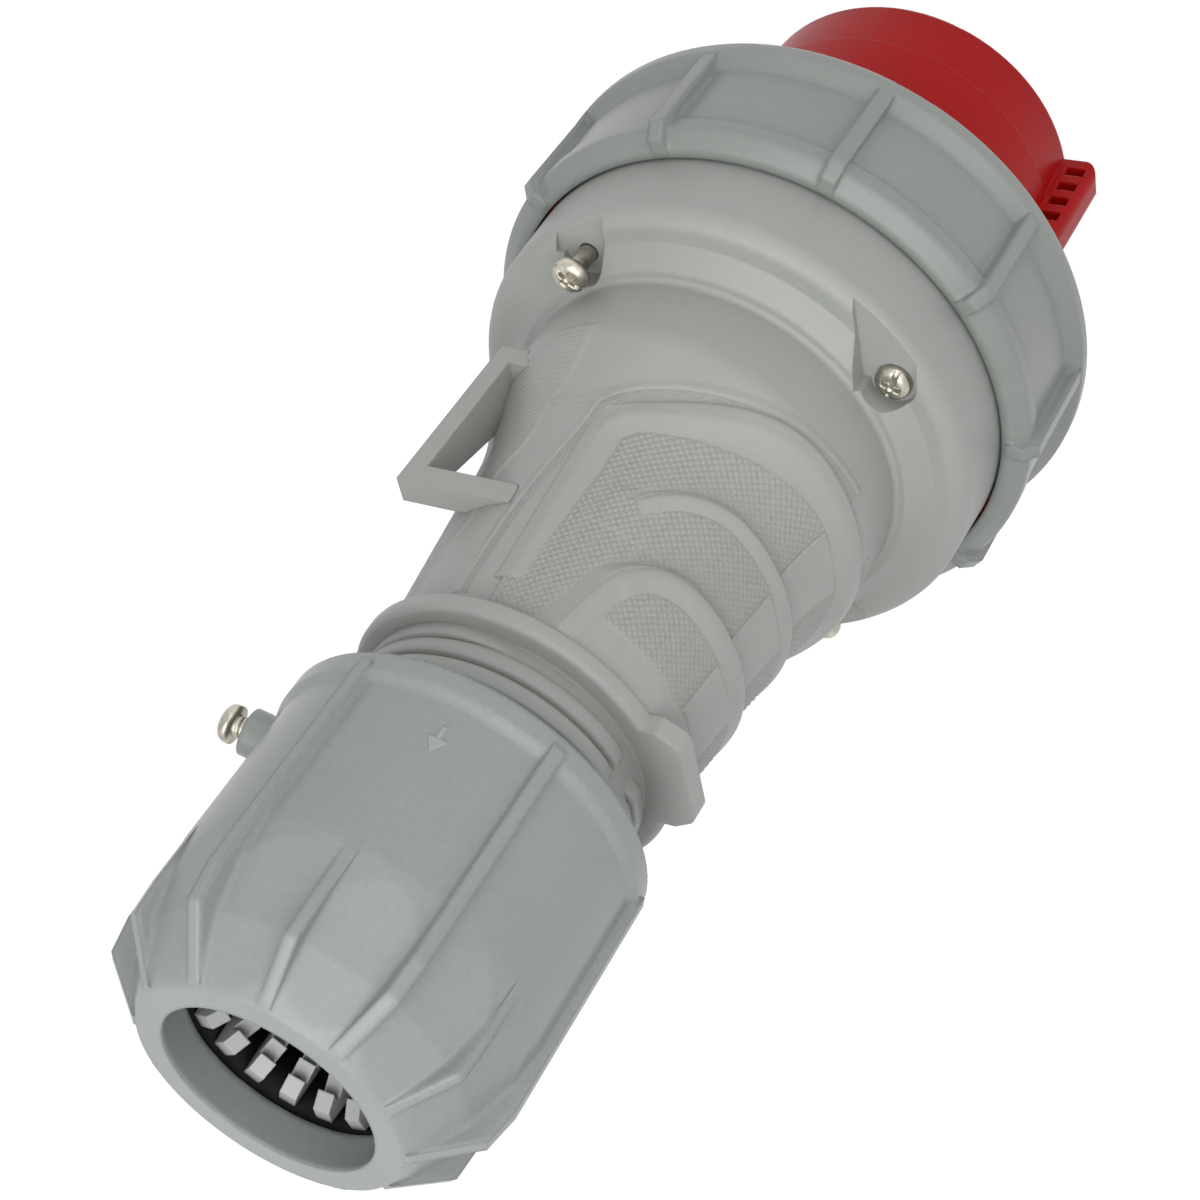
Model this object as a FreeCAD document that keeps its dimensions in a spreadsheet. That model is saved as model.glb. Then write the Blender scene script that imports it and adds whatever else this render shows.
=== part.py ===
import FreeCAD, Part
import os

import Sketcher

# Industrial power plug with five poles and a pilot contact, standing on its nose.
# The axis is Z and the nose face lies at height zero. The key of the nose, the tab of the
# collar and the finger grip face minus Y. Lengths in millimetres, angles in degrees.

doc = FreeCAD.newDocument("industrial_plug")
sheet = doc.addObject("Spreadsheet::Sheet", "sizes")

SIZES = (
    # Nose and contact carrier
    ("nose_radius", 35.5),
    ("nose_draft", 0.4),
    ("nose_step", 0.6),
    ("nose_front_length", 14.6),
    ("nose_length", 66.6),
    ("nose_edge", 1.2),
    ("shroud_wall", 3.2),
    ("shroud_depth", 48.0),
    ("base_thickness", 14.0),
    ("flange_thickness", 10.0),
    ("spigot_wall", 3.2),
    ("spigot_height", 7.0),
    ("key_width", 8.0),
    ("key_height", 6.2),
    ("key_front", 1.0),
    ("key_gap", 2.0),
    ("key_edge", 2.6),
    ("key_web", 3.0),
    ("key_groove_first", 5.1),
    ("key_groove_pitch", 5.2),
    ("key_groove_width", 2.6),
    ("key_groove_count", 4),
    ("key_groove_rim", 1.7),
    # Contacts
    ("pin_inset", 11.8),
    ("pin_count", 5),
    ("pin_radius", 4.0),
    ("earth_radius", 5.0),
    ("pilot_radius", 3.0),
    ("pin_setback", 10.0),
    ("earth_setback", 6.0),
    ("pilot_setback", 20.0),
    ("pin_edge", 1.2),
    ("pin_shank_radius", 5.4),
    ("pin_collar_radius", 7.2),
    ("pin_collar_height", 4.0),
    ("barrel_radius", 6.4),
    ("barrel_length", 32.0),
    ("wire_bore_radius", 3.9),
    ("wire_bore_depth", 24.0),
    ("pin_gap", 0.1),
    ("terminal_first", 13.0),
    ("terminal_pitch", 11.0),
    ("terminal_shank_radius", 2.0),
    ("terminal_shank_length", 4.0),
    ("terminal_head_radius", 3.3),
    ("terminal_head_height", 3.0),
    ("retainer_thickness", 4.0),
    ("retainer_gap", 0.2),
    ("retainer_inset", 9.3),
    ("retainer_boss_radius", 4.0),
    ("retainer_shank_radius", 1.4),
    ("retainer_thread_depth", 9.0),
    ("retainer_head_radius", 2.8),
    ("retainer_head_height", 2.2),
    ("thread_gap", 0.05),
    # Housing
    ("spigot_gap", 0.3),
    ("shoulder_wall", 2.4),
    ("notch_side", 6.0),
    ("notch_height", 19.0),
    ("notch_pocket_gap", 1.1),
    ("notch_floor", 20.0),
    ("screw_side_gap", 1.8),
    ("flange_rim", 9.5),
    ("band_step", 2.1),
    ("band_length", 21.4),
    ("band_draft", 0.5),
    ("band_edge", 3.6),
    ("ledge_width", 6.2),
    ("ledge_rise", 3.2),
    ("groove_width", 2.1),
    ("groove_edge", 1.0),
    ("shoulder_length", 18.2),
    ("shoulder_edge", 10.0),
    ("flare_length", 14.0),
    ("flare_edge", 50.0),
    ("flare_drop", 6.0),
    ("handle_taper", 4.9),
    ("handle_length", 46.9),
    ("handle_wall", 4.2),
    ("chamber_length", 26.0),
    ("collar_step", 3.0),
    ("collar_thickness", 4.1),
    ("collar_edge", 1.4),
    ("tab_reach", 4.3),
    ("tab_foot_width", 22.4),
    ("tab_tip_width", 17.4),
    ("tab_edge", 2.6),
    ("neck_step", 1.3),
    ("neck_wall", 3.2),
    ("neck_length", 39.4),
    ("throat_ledge", 4.3),
    ("throat_length", 6.0),
    # Shingled finger grip
    ("scale_one_start", 21.4),
    ("scale_one_step", 1.6),
    ("scale_one_rest", 0.5),
    ("scale_one_half_width", 33.4),
    ("scale_one_corner", 13.0),
    ("scale_two_start", 39.3),
    ("scale_two_step", 1.3),
    ("scale_two_rest", 0.3),
    ("scale_two_half_width", 28.9),
    ("scale_two_corner", 10.5),
    ("scale_three_start", 56.3),
    ("scale_three_step", 1.8),
    ("scale_three_rest", 1.5),
    ("scale_three_half_width", 26.6),
    ("scale_three_corner", 9.0),
    # Loop beside the handle
    ("loop_inset", 3.2),
    ("loop_end_width", 5.2),
    ("loop_foot_width", 12.2),
    ("loop_foot_length", 38.5),
    ("loop_drop", 1.4),
    ("loop_arm", 3.8),
    ("loop_leg", 4.4),
    ("loop_end", 56.0),
    ("loop_window_length", 30.0),
    ("loop_root", 8.0),
    # Housing screws
    ("screw_phase", 28.0),
    ("screw_count", 4),
    ("screw_radius", 1.75),
    ("screw_gap", 0.2),
    ("screw_head_radius", 3.5),
    ("screw_head_height", 2.4),
    ("screw_bite", 9.0),
    ("screw_slot_width", 0.9),
    ("screw_slot_depth", 1.1),
    ("screw_backed_out", 6.6),
    # Coupling ring
    ("ring_gap", 0.6),
    ("ring_bore_gap", 0.4),
    ("ring_play", 0.5),
    ("ring_lip_thickness", 4.2),
    ("ring_length", 29.1),
    ("ring_wall", 1.9),
    ("ring_rib_height", 2.6),
    ("ring_rib_width", 3.2),
    ("ring_rib_count", 10),
    ("ring_phase", 12.0),
    ("ring_front_lip", 3.4),
    ("ring_front_bevel", 2.6),
    ("ring_rear_band", 6.4),
    ("ring_rear_rise", 0.7),
    ("ring_rear_drop", 2.4),
    ("ring_edge", 1.2),
    ("ramp_height", 2.2),
    ("ramp_length", 6.0),
    ("ramp_setback", 2.0),
    ("ramp_angle", 50.0),
    ("ramp_count", 2),
    ("snap_height", 1.4),
    ("snap_length", 1.6),
    ("snap_angle", 14.0),
    ("snap_count", 4),
    # Gaskets
    ("face_gasket_thickness", 3.0),
    ("face_gasket_rim", 3.0),
    ("housing_gasket_width", 2.2),
    ("housing_gasket_depth", 2.0),
    ("housing_gasket_wall", 1.8),
    ("gasket_gap", 0.1),
    # Gland
    ("nut_backed_out", 15.3),
    ("nut_length", 61.0),
    ("nut_thread_height", 0.9),
    ("nut_thread_gap", 0.4),
    ("nut_wall", 5.8),
    ("nut_rim_step", 1.1),
    ("nut_rim_length", 3.8),
    ("nut_rim_bevel", 1.6),
    ("nut_facet_length", 26.0),
    ("nut_knee_length", 10.0),
    ("nut_knee_drop", 4.0),
    ("nut_flat_fade", 0.3),
    ("nut_mouth_drop", 8.4),
    ("nut_mouth_rim", 4.6),
    ("nut_lip_depth", 7.0),
    ("nut_lip_ledge", 0.9),
    ("nut_cone_length", 18.6),
    ("nut_rib_height", 1.7),
    ("nut_rib_drop", 1.3),
    ("nut_rib_width", 2.6),
    ("nut_rib_count", 6),
    ("nut_rib_knee", 15.0),
    ("nut_short_rib_width", 2.2),
    ("nut_phase", 14.0),
    ("lock_angle", 74.0),
    ("lock_height", 5.0),
    ("lock_boss_radius", 4.3),
    ("lock_boss_height", 5.2),
    ("lock_shank_radius", 2.0),
    ("lock_shank_length", 12.0),
    ("lock_head_radius", 3.45),
    ("lock_head_height", 2.6),
    ("lock_backed_out", 2.6),
    ("cage_gap", 0.3),
    ("finger_gap", 0.45),
    ("cage_ring_height", 7.0),
    ("cage_ring_wall", 4.6),
    ("cage_depth", 6.6),
    ("cage_setback", 8.8),
    ("finger_count", 18),
    ("finger_width", 3.0),
    ("finger_phase", 17.0),
    ("finger_tip_radius", 15.6),
    ("finger_tooth_depth", 2.0),
    ("finger_tooth_pitch", 3.3),
    ("finger_tooth_land", 0.8),
    ("seal_inner_radius", 14.2),
    ("seal_length", 12.0),
    ("washer_thickness", 2.4),
    ("seal_gap", 0.1),
)


class Size:
    """A number together with the sheet formula that it comes from."""

    def __init__(self, number, formula):
        self.number = number
        self.formula = formula

    def combined(self, sign, other, number):
        return Size(number, "(%s %s %s)" % (self.formula, sign, other.formula))

    def __add__(self, other):
        other = as_size(other)
        return self.combined("+", other, self.number + other.number)

    def __sub__(self, other):
        other = as_size(other)
        return self.combined("-", other, self.number - other.number)

    def __mul__(self, other):
        other = as_size(other)
        return self.combined("*", other, self.number * other.number)

    def __truediv__(self, other):
        other = as_size(other)
        return self.combined("/", other, self.number / other.number)

    def __neg__(self):
        return Size(-self.number, "(0 - %s)" % self.formula)


def as_size(item):
    """Plain numbers become sizes with no cell behind them."""
    if isinstance(item, Size):
        return item
    return Size(float(item), repr(float(item)))


class Sizes:
    """The named sizes, one attribute for each cell of the sheet."""


size = Sizes()
for row, (alias, number) in enumerate(SIZES, start=1):
    sheet.set("A%d" % row, alias)
    sheet.set("B%d" % row, str(number))
    sheet.setAlias("B%d" % row, alias)
    setattr(size, alias, Size(float(number), "sizes." + alias))
doc.recompute()


# Drawing helpers


def base_plane(body, role):
    for item in body.Origin.OriginFeatures:
        if item.Role == role:
            return item
    raise ValueError(role)


def new_body(name):
    return doc.addObject("PartDesign::Body", name)


def new_sketch(body, name, plane, height=None, turn=0.0):
    """A sketch on a base plane of the body, lifted along the plane's normal and turned on it."""
    sketch = body.newObject("Sketcher::SketchObject", name)
    sketch.AttachmentSupport = [(base_plane(body, plane), "")]
    sketch.MapMode = "FlatFace"
    spin = FreeCAD.Rotation(FreeCAD.Vector(0, 0, 1), turn)
    lift = as_size(0.0) if height is None else height
    sketch.AttachmentOffset = FreeCAD.Placement(FreeCAD.Vector(0, 0, lift.number), spin)
    if height is not None:
        sketch.setExpression("AttachmentOffset.Base.z", height.formula)
    return sketch


def bind_point(sketch, curve, end, across, along):
    """Tie one point of the sketch to its two coordinates."""
    for kind, coordinate, axis in (("DistanceX", across, -2), ("DistanceY", along, -1)):
        if coordinate.number == 0.0:
            sketch.addConstraint(Sketcher.Constraint("PointOnObject", curve, end, axis))
            continue
        tie = Sketcher.Constraint(kind, -1, 1, curve, end, coordinate.number)
        index = sketch.addConstraint(tie)
        sketch.setExpression("Constraints[%d]" % index, coordinate.formula)


def add_outline(sketch, corners):
    """A closed run of straight lines through the corners."""
    first = sketch.GeometryCount
    corners = [(as_size(across), as_size(along)) for across, along in corners]
    spots = [FreeCAD.Vector(across.number, along.number, 0) for across, along in corners]
    count = len(spots)
    for k in range(count):
        sketch.addGeometry(Part.LineSegment(spots[k], spots[(k + 1) % count]), False)
    for k in range(count):
        following = first + (k + 1) % count
        sketch.addConstraint(Sketcher.Constraint("Coincident", first + k, 2, following, 1))
    for k, (across, along) in enumerate(corners):
        bind_point(sketch, first + k, 1, across, along)
    return sketch


def add_circle(sketch, across, along, radius):
    across = as_size(across)
    along = as_size(along)
    centre = FreeCAD.Vector(across.number, along.number, 0)
    curve = sketch.addGeometry(Part.Circle(centre, FreeCAD.Vector(0, 0, 1), radius.number), False)
    bind_point(sketch, curve, 3, across, along)
    index = sketch.addConstraint(Sketcher.Constraint("Radius", curve, radius.number))
    sketch.setExpression("Constraints[%d]" % index, radius.formula)
    return sketch


def revolve(body, name, corners, angle=None):
    """Turn a profile of (radius, height) corners about Z, or a sector of it about the X side."""
    sketch = add_outline(new_sketch(body, name + "_profile", "XZ_Plane"), corners)
    feature = body.newObject("PartDesign::Revolution", name)
    feature.Profile = sketch
    feature.ReferenceAxis = (sketch, ["V_Axis"])
    feature.Angle = 360.0
    if angle is not None:
        feature.Midplane = True
        feature.setExpression("Angle", angle.formula)
    body.Tip = feature
    return feature


def pad(body, name, sketch, length, symmetric=False, backwards=False):
    feature = body.newObject("PartDesign::Pad", name)
    feature.Profile = sketch
    feature.setExpression("Length", length.formula)
    feature.SideType = "Symmetric" if symmetric else "One side"
    feature.Reversed = backwards
    body.Tip = feature
    return feature


def pocket(body, name, sketch, length, symmetric=False, backwards=False):
    """Cut the sketch into the body and make sure that something was cut."""
    doc.recompute()
    before = body.Shape.Volume
    feature = body.newObject("PartDesign::Pocket", name)
    feature.Profile = sketch
    feature.setExpression("Length", length.formula)
    feature.SideType = "Symmetric" if symmetric else "One side"
    feature.Reversed = backwards
    body.Tip = feature
    doc.recompute()
    if not body.Shape.Volume < before - 0.01:
        raise RuntimeError("nothing cut by " + name)
    return feature


def ring_of(body, name, features, count):
    """Repeat features evenly about Z."""
    feature = body.newObject("PartDesign::PolarPattern", name)
    feature.Originals = features
    for item in body.Origin.OriginFeatures:
        if item.Role == "Z_Axis":
            feature.Axis = (item, [""])
    feature.Angle = 360.0
    feature.setExpression("Occurrences", count.formula)
    body.Tip = feature
    return feature


def round_edges(body, name, radius, chosen):
    """Round the edges of the body for which the test holds."""
    doc.recompute()
    base = body.Tip
    names = []
    for k, edge in enumerate(base.Shape.Edges, start=1):
        if chosen(edge):
            names.append("Edge%d" % k)
    if not names:
        raise RuntimeError("no edge for " + name)
    feature = body.newObject("PartDesign::Fillet", name)
    feature.Base = (base, names)
    feature.setExpression("Radius", radius.formula)
    body.Tip = feature
    return feature


def on_circles(*spots):
    """Test for full circles about the axis at the given (radius, height) spots."""

    def test(edge):
        if not isinstance(edge.Curve, Part.Circle):
            return False
        for radius, height in spots:
            same_radius = abs(edge.Curve.Radius - radius.number) < 0.01
            if same_radius and abs(edge.Curve.Center.z - height.number) < 0.01:
                return True
        return False

    return test


def rod(name, radius, length, base, axis=(0, 0, 1)):
    """A round bar from a base point along an axis."""
    feature = doc.addObject("Part::Cylinder", name)
    feature.setExpression("Radius", radius.formula)
    feature.setExpression("Height", length.formula)
    spin = FreeCAD.Rotation(FreeCAD.Vector(0, 0, 1), FreeCAD.Vector(*axis))
    feature.Placement = FreeCAD.Placement(FreeCAD.Vector(*base), spin)
    return feature


def block(name, low, lengths):
    """A rectangular block from its low corner."""
    feature = doc.addObject("Part::Box", name)
    for prop, length in zip(("Length", "Width", "Height"), lengths):
        feature.setExpression(prop, length.formula)
    feature.Placement.Base = FreeCAD.Vector(*[corner.number for corner in low])
    return feature


def fuse(name, pieces):
    feature = doc.addObject("Part::MultiFuse", name)
    feature.Shapes = pieces
    return feature


def cut(name, base, tool):
    feature = doc.addObject("Part::Cut", name)
    feature.Base = base
    feature.Tool = tool
    return feature


def copies(name, source, places):
    """One object that shows the source at each of the places."""
    links = []
    for k, place in enumerate(places):
        link = doc.addObject("App::Link", "%s_%d" % (name, k + 1))
        link.LinkedObject = source
        link.Placement = place
        links.append(link)
    feature = doc.addObject("Part::Compound", name)
    feature.Links = links
    return feature


def turned_to(angle, radius=0.0, height=0.0):
    """Place that moves out along X, then up, then round the axis."""
    spin = FreeCAD.Rotation(FreeCAD.Vector(0, 0, 1), angle)
    return FreeCAD.Placement(spin.multVec(FreeCAD.Vector(radius, 0, height)), spin)


# Levels and radii that several pieces share

shroud_inner = size.nose_radius - size.shroud_wall
nose_root = size.nose_radius + size.nose_draft + size.nose_step
base_front = size.shroud_depth
base_rear = base_front + size.base_thickness
flange_front = size.nose_length
flange_rear = flange_front + size.flange_thickness
pin_circle = shroud_inner - size.pin_inset
retainer_circle = shroud_inner - size.retainer_inset
spigot_radius = shroud_inner + size.spigot_wall
cavity_radius = spigot_radius + size.spigot_gap
shoulder_radius = cavity_radius + size.shoulder_wall
screw_circle = shoulder_radius + size.screw_head_radius + size.screw_side_gap
flange_radius = screw_circle + size.flange_rim
band_radius = flange_radius - size.band_step
crease_level = flange_rear + size.band_length
crease_radius = band_radius - size.band_draft
ledge_radius = shoulder_radius + size.ledge_width
groove_radius = shoulder_radius + size.groove_width
groove_level = crease_level + size.ledge_rise
shoulder_level = crease_level + size.shoulder_length
handle_start = shoulder_level + size.flare_length
handle_front = shoulder_radius - size.flare_drop
handle_rear = handle_front - size.handle_taper
collar_radius = handle_rear + size.collar_step
tab_radius = collar_radius + size.tab_reach
loop_side = handle_front - size.loop_inset
loop_outside = handle_front - size.loop_drop
neck_radius = handle_rear - size.neck_step
collar_front = handle_start + size.handle_length
collar_rear = collar_front + size.collar_thickness
neck_end = collar_rear + size.neck_length
neck_bore = neck_radius - size.neck_wall
throat_radius = neck_bore - size.throat_ledge
notch_level = flange_rear + size.notch_floor
ring_inner = flange_radius + size.ring_gap
ring_panel = ring_inner + size.ring_wall
ring_crest = ring_panel + size.ring_rib_height
ring_bore = band_radius + size.ring_bore_gap
lip_front = flange_rear + size.ring_play
ring_rear = lip_front + size.ring_lip_thickness
ring_front = ring_rear - size.ring_length
collar_top = base_rear + size.pin_collar_height
barrel_end = collar_top + size.barrel_length
retainer_top = collar_top + size.retainer_thickness
nut_front = collar_rear + size.nut_backed_out
nut_top = nut_front + size.nut_length
nut_bore = neck_radius + size.nut_thread_height + size.nut_thread_gap
nut_mouth = nut_bore - size.nut_mouth_drop
nut_panel = nut_bore + size.nut_wall
nut_crest = nut_panel + size.nut_rib_height
mouth_rim = nut_mouth + size.nut_mouth_rim
lip_floor = nut_top - size.nut_lip_depth
cone_top_radius = nut_mouth + size.nut_lip_ledge
cone_foot = lip_floor - size.nut_cone_length
seal_seat = collar_rear


# Contact carrier: nose, key, base with pin holes, flange and spigot

carrier = new_body("contact_carrier")
revolve(carrier, "carrier_shell", [
    (shroud_inner, 0),
    (size.nose_radius, 0),
    (size.nose_radius + size.nose_draft, size.nose_front_length),
    (nose_root, size.nose_front_length),
    (nose_root, flange_front),
    (flange_radius, flange_front),
    (flange_radius, flange_rear),
    (spigot_radius, flange_rear),
    (spigot_radius, flange_rear + size.spigot_height),
    (shroud_inner, flange_rear + size.spigot_height),
    (shroud_inner, base_rear),
    (0, base_rear),
    (0, base_front),
    (shroud_inner, base_front),
])
nose_rim = (size.nose_radius, as_size(0))
round_edges(carrier, "nose_rim", size.nose_edge, on_circles(nose_rim))
key_top = nose_root + size.key_height
key_root = size.nose_radius - size.shroud_wall / 2
key_half = size.key_width / 2
key_end = flange_front - size.face_gasket_thickness - size.key_gap
key_sketch = add_outline(new_sketch(carrier, "key_section", "XY_Plane", size.key_front), [
    (-key_half, -key_root),
    (key_half, -key_root),
    (key_half, -key_top),
    (-key_half, -key_top),
])
pad(carrier, "key", key_sketch, key_end - size.key_front)


def key_ridge(edge):
    """The two long top edges of the key and the top edge of its front end."""
    middle = edge.BoundBox.Center
    if abs(middle.y + key_top.number) > 0.01 or not isinstance(edge.Curve, Part.Line):
        return False
    return edge.BoundBox.ZLength > 1.0 or abs(middle.z - size.key_front.number) < 0.01


round_edges(carrier, "key_ridge", size.key_edge, key_ridge)
groove_sketch = new_sketch(carrier, "key_groove_section", "YZ_Plane", size.key_web / 2)
groove_low = nose_root + size.nose_edge / 2
groove_high = key_top - size.key_groove_rim
for k in range(int(size.key_groove_count.number)):
    level = size.key_groove_first + size.key_groove_pitch * k
    add_outline(groove_sketch, [
        (-groove_high, level - size.key_groove_width / 2),
        (-groove_low, level - size.key_groove_width / 2),
        (-groove_low, level + size.key_groove_width / 2),
        (-groove_high, level + size.key_groove_width / 2),
    ])
grooves = pocket(carrier, "key_grooves", groove_sketch, size.key_width, backwards=True)
mirrored = carrier.newObject("PartDesign::Mirrored", "key_grooves_far_side")
mirrored.Originals = [grooves]
mirrored.MirrorPlane = (base_plane(carrier, "YZ_Plane"), [""])
carrier.Tip = mirrored
pin_hole = new_sketch(carrier, "pin_hole_section", "XY_Plane", base_rear)
add_circle(pin_hole, 0, -pin_circle, size.pin_shank_radius + size.pin_gap)
pin_hole = pocket(carrier, "pin_hole", pin_hole, size.base_thickness)
ring_of(carrier, "pin_holes", [pin_hole], size.pin_count)
pilot_hole = new_sketch(carrier, "pilot_hole_section", "XY_Plane", base_rear)
add_circle(pilot_hole, 0, 0, size.pin_shank_radius + size.pin_gap)
pocket(carrier, "pilot_hole", pilot_hole, size.base_thickness)
half_step = 180.0 / size.pin_count.number
boss = new_sketch(carrier, "retainer_boss_section", "XY_Plane", base_rear, half_step)
add_circle(boss, 0, -retainer_circle, size.retainer_boss_radius)
boss = pad(carrier, "retainer_boss", boss, size.pin_collar_height)
ring_of(carrier, "retainer_bosses", [boss], size.pin_count)
boss_hole = new_sketch(carrier, "retainer_hole_section", "XY_Plane", collar_top, half_step)
add_circle(boss_hole, 0, -retainer_circle, size.retainer_shank_radius + size.thread_gap)
hole_depth = size.retainer_thread_depth + size.thread_gap
boss_hole = pocket(carrier, "retainer_hole", boss_hole, hole_depth)
ring_of(carrier, "retainer_holes", [boss_hole], size.pin_count)
screw_hole = new_sketch(carrier, "screw_hole_section", "XY_Plane", flange_rear,
                        size.screw_phase.number)
add_circle(screw_hole, screw_circle, 0, size.screw_radius + size.thread_gap)
screw_hole = pocket(carrier, "screw_hole", screw_hole, size.screw_bite + size.thread_gap)
ring_of(carrier, "screw_holes", [screw_hole], size.screw_count)


# Contact pins: contact end, shank in the base, collar and terminal barrel

pole_step = 360.0 / size.pin_count.number


def contact(name, radius, setback, place):
    body = new_body(name)
    bore_floor = barrel_end - size.wire_bore_depth
    revolve(body, name + "_turned", [
        (0, setback),
        (radius - size.pin_edge, setback),
        (radius, setback + size.pin_edge),
        (radius, base_front),
        (size.pin_shank_radius, base_front),
        (size.pin_shank_radius, base_rear),
        (size.pin_collar_radius, base_rear),
        (size.pin_collar_radius, collar_top),
        (size.barrel_radius, collar_top),
        (size.barrel_radius, barrel_end),
        (size.wire_bore_radius, barrel_end),
        (size.wire_bore_radius, bore_floor),
        (0, bore_floor),
    ])
    sketch = new_sketch(body, name + "_terminal_section", "YZ_Plane")
    for k in range(2):
        level = collar_top + size.terminal_first + size.terminal_pitch * k
        add_circle(sketch, 0, level, size.terminal_shank_radius + size.thread_gap)
    pocket(body, name + "_terminal_holes", sketch, size.barrel_radius * 2, backwards=True)
    body.Placement = place
    return body


contacts = []
pole_names = ("pin_earth", "pin_l1", "pin_l2", "pin_l3", "pin_neutral")
terminal_places = []
for k, pole in enumerate(pole_names):
    earth = pole == "pin_earth"
    place = turned_to(-90.0 + pole_step * k, pin_circle.number)
    radius = size.earth_radius if earth else size.pin_radius
    setback = size.earth_setback if earth else size.pin_setback
    contacts.append(contact(pole, radius, setback, place))
    terminal_places.append(place)
pilot_place = turned_to(-90.0 + half_step)
contacts.append(contact("pin_pilot", size.pilot_radius, size.pilot_setback, pilot_place))
terminal_places.append(pilot_place)


# Screws: turned head and shank with a slot across the head


def screw(name, head_radius, head_height, shank_radius, shank_length, dome):
    """A screw along Z with the underside of its head at zero and the shank below."""
    body = new_body(name)
    revolve(body, name + "_turned", [
        (0, -shank_length),
        (shank_radius - shank_radius / 3, -shank_length),
        (shank_radius, -shank_length + shank_radius / 2),
        (shank_radius, 0),
        (head_radius, 0),
        (head_radius, head_height - dome),
        (head_radius - dome, head_height),
        (0, head_height),
    ])
    sketch = new_sketch(body, name + "_slot_section", "XY_Plane", head_height)
    half = size.screw_slot_width / 2
    add_outline(sketch, [
        (-head_radius * 2, -half),
        (head_radius * 2, -half),
        (head_radius * 2, half),
        (-head_radius * 2, half),
    ])
    pocket(body, name + "_slot", sketch, size.screw_slot_depth)
    return body


housing_screw = screw("housing_screw", size.screw_head_radius, size.screw_head_height,
                      size.screw_radius, size.notch_floor + size.screw_bite,
                      size.screw_head_height / 2)
screw_places = []
screw_step = 360.0 / size.screw_count.number
for k in range(int(size.screw_count.number)):
    # Every second screw has been backed out of its notch
    lift = size.screw_backed_out.number if k % 2 == 0 else 0.0
    angle = size.screw_phase.number + screw_step * k
    screw_places.append(turned_to(angle, screw_circle.number, notch_level.number + lift))
housing_screws = copies("housing_screws", housing_screw, screw_places)

terminal_screw = screw("terminal_screw", size.terminal_head_radius, size.terminal_head_height,
                       size.terminal_shank_radius, size.terminal_shank_length,
                       size.terminal_head_height / 4)
outward = FreeCAD.Rotation(FreeCAD.Vector(0, 1, 0), 90)
terminal_spots = []
for place in terminal_places:
    for k in range(2):
        level = collar_top + size.terminal_first + size.terminal_pitch * k
        spot = FreeCAD.Vector(size.barrel_radius.number + size.pin_gap.number, 0, level.number)
        terminal_spots.append(place.multiply(FreeCAD.Placement(spot, outward)))
terminal_screws = copies("terminal_screws", terminal_screw, terminal_spots)

retainer_screw = screw("retainer_screw", size.retainer_head_radius, size.retainer_head_height,
                       size.retainer_shank_radius,
                       size.retainer_thread_depth + size.retainer_thickness,
                       size.retainer_head_height / 4)
retainer_spots = []
for k in range(int(size.pin_count.number)):
    angle = -90.0 + half_step + pole_step * k
    retainer_spots.append(turned_to(angle, retainer_circle.number, retainer_top.number))
retainer_screws = copies("retainer_screws", retainer_screw, retainer_spots)


# Plate that holds the pin collars down on the base

retainer = new_body("pin_retainer")
plate_radius = shroud_inner - size.retainer_gap
plate = add_circle(new_sketch(retainer, "plate_section", "XY_Plane", collar_top), 0, 0, plate_radius)
pad(retainer, "plate", plate, size.retainer_thickness)
barrel_hole = new_sketch(retainer, "barrel_hole_section", "XY_Plane", retainer_top)
add_circle(barrel_hole, 0, -pin_circle, size.barrel_radius + size.retainer_gap)
barrel_hole = pocket(retainer, "barrel_hole", barrel_hole, size.retainer_thickness)
ring_of(retainer, "barrel_holes", [barrel_hole], size.pin_count)
centre_hole = new_sketch(retainer, "centre_hole_section", "XY_Plane", retainer_top)
add_circle(centre_hole, 0, 0, size.barrel_radius + size.retainer_gap)
pocket(retainer, "centre_hole", centre_hole, size.retainer_thickness)
plate_hole = new_sketch(retainer, "plate_hole_section", "XY_Plane", retainer_top, half_step)
add_circle(plate_hole, 0, -retainer_circle, size.retainer_shank_radius + size.retainer_gap)
plate_hole = pocket(retainer, "plate_hole", plate_hole, size.retainer_thickness)
ring_of(retainer, "plate_holes", [plate_hole], size.pin_count)


# Gaskets

face_gasket = new_body("face_gasket")
revolve(face_gasket, "face_gasket_turned", [
    (nose_root + size.gasket_gap, flange_front - size.face_gasket_thickness),
    (flange_radius - size.face_gasket_rim, flange_front - size.face_gasket_thickness),
    (flange_radius - size.face_gasket_rim, flange_front),
    (nose_root + size.gasket_gap, flange_front),
])
groove_inner = cavity_radius + size.housing_gasket_wall
groove_outer = groove_inner + size.housing_gasket_width
groove_floor = flange_rear + size.housing_gasket_depth
housing_gasket = new_body("housing_gasket")
revolve(housing_gasket, "housing_gasket_turned", [
    (groove_inner + size.gasket_gap, flange_rear),
    (groove_outer - size.gasket_gap, flange_rear),
    (groove_outer - size.gasket_gap, groove_floor - size.gasket_gap),
    (groove_inner + size.gasket_gap, groove_floor - size.gasket_gap),
])


# Rear housing: turned outside, shingled grip, loop and tab, then everything that is cut


def handle_at(level):
    """Radius of the handle at a level between flare and collar."""
    return handle_front - size.handle_taper * (level - handle_start) / size.handle_length


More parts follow.
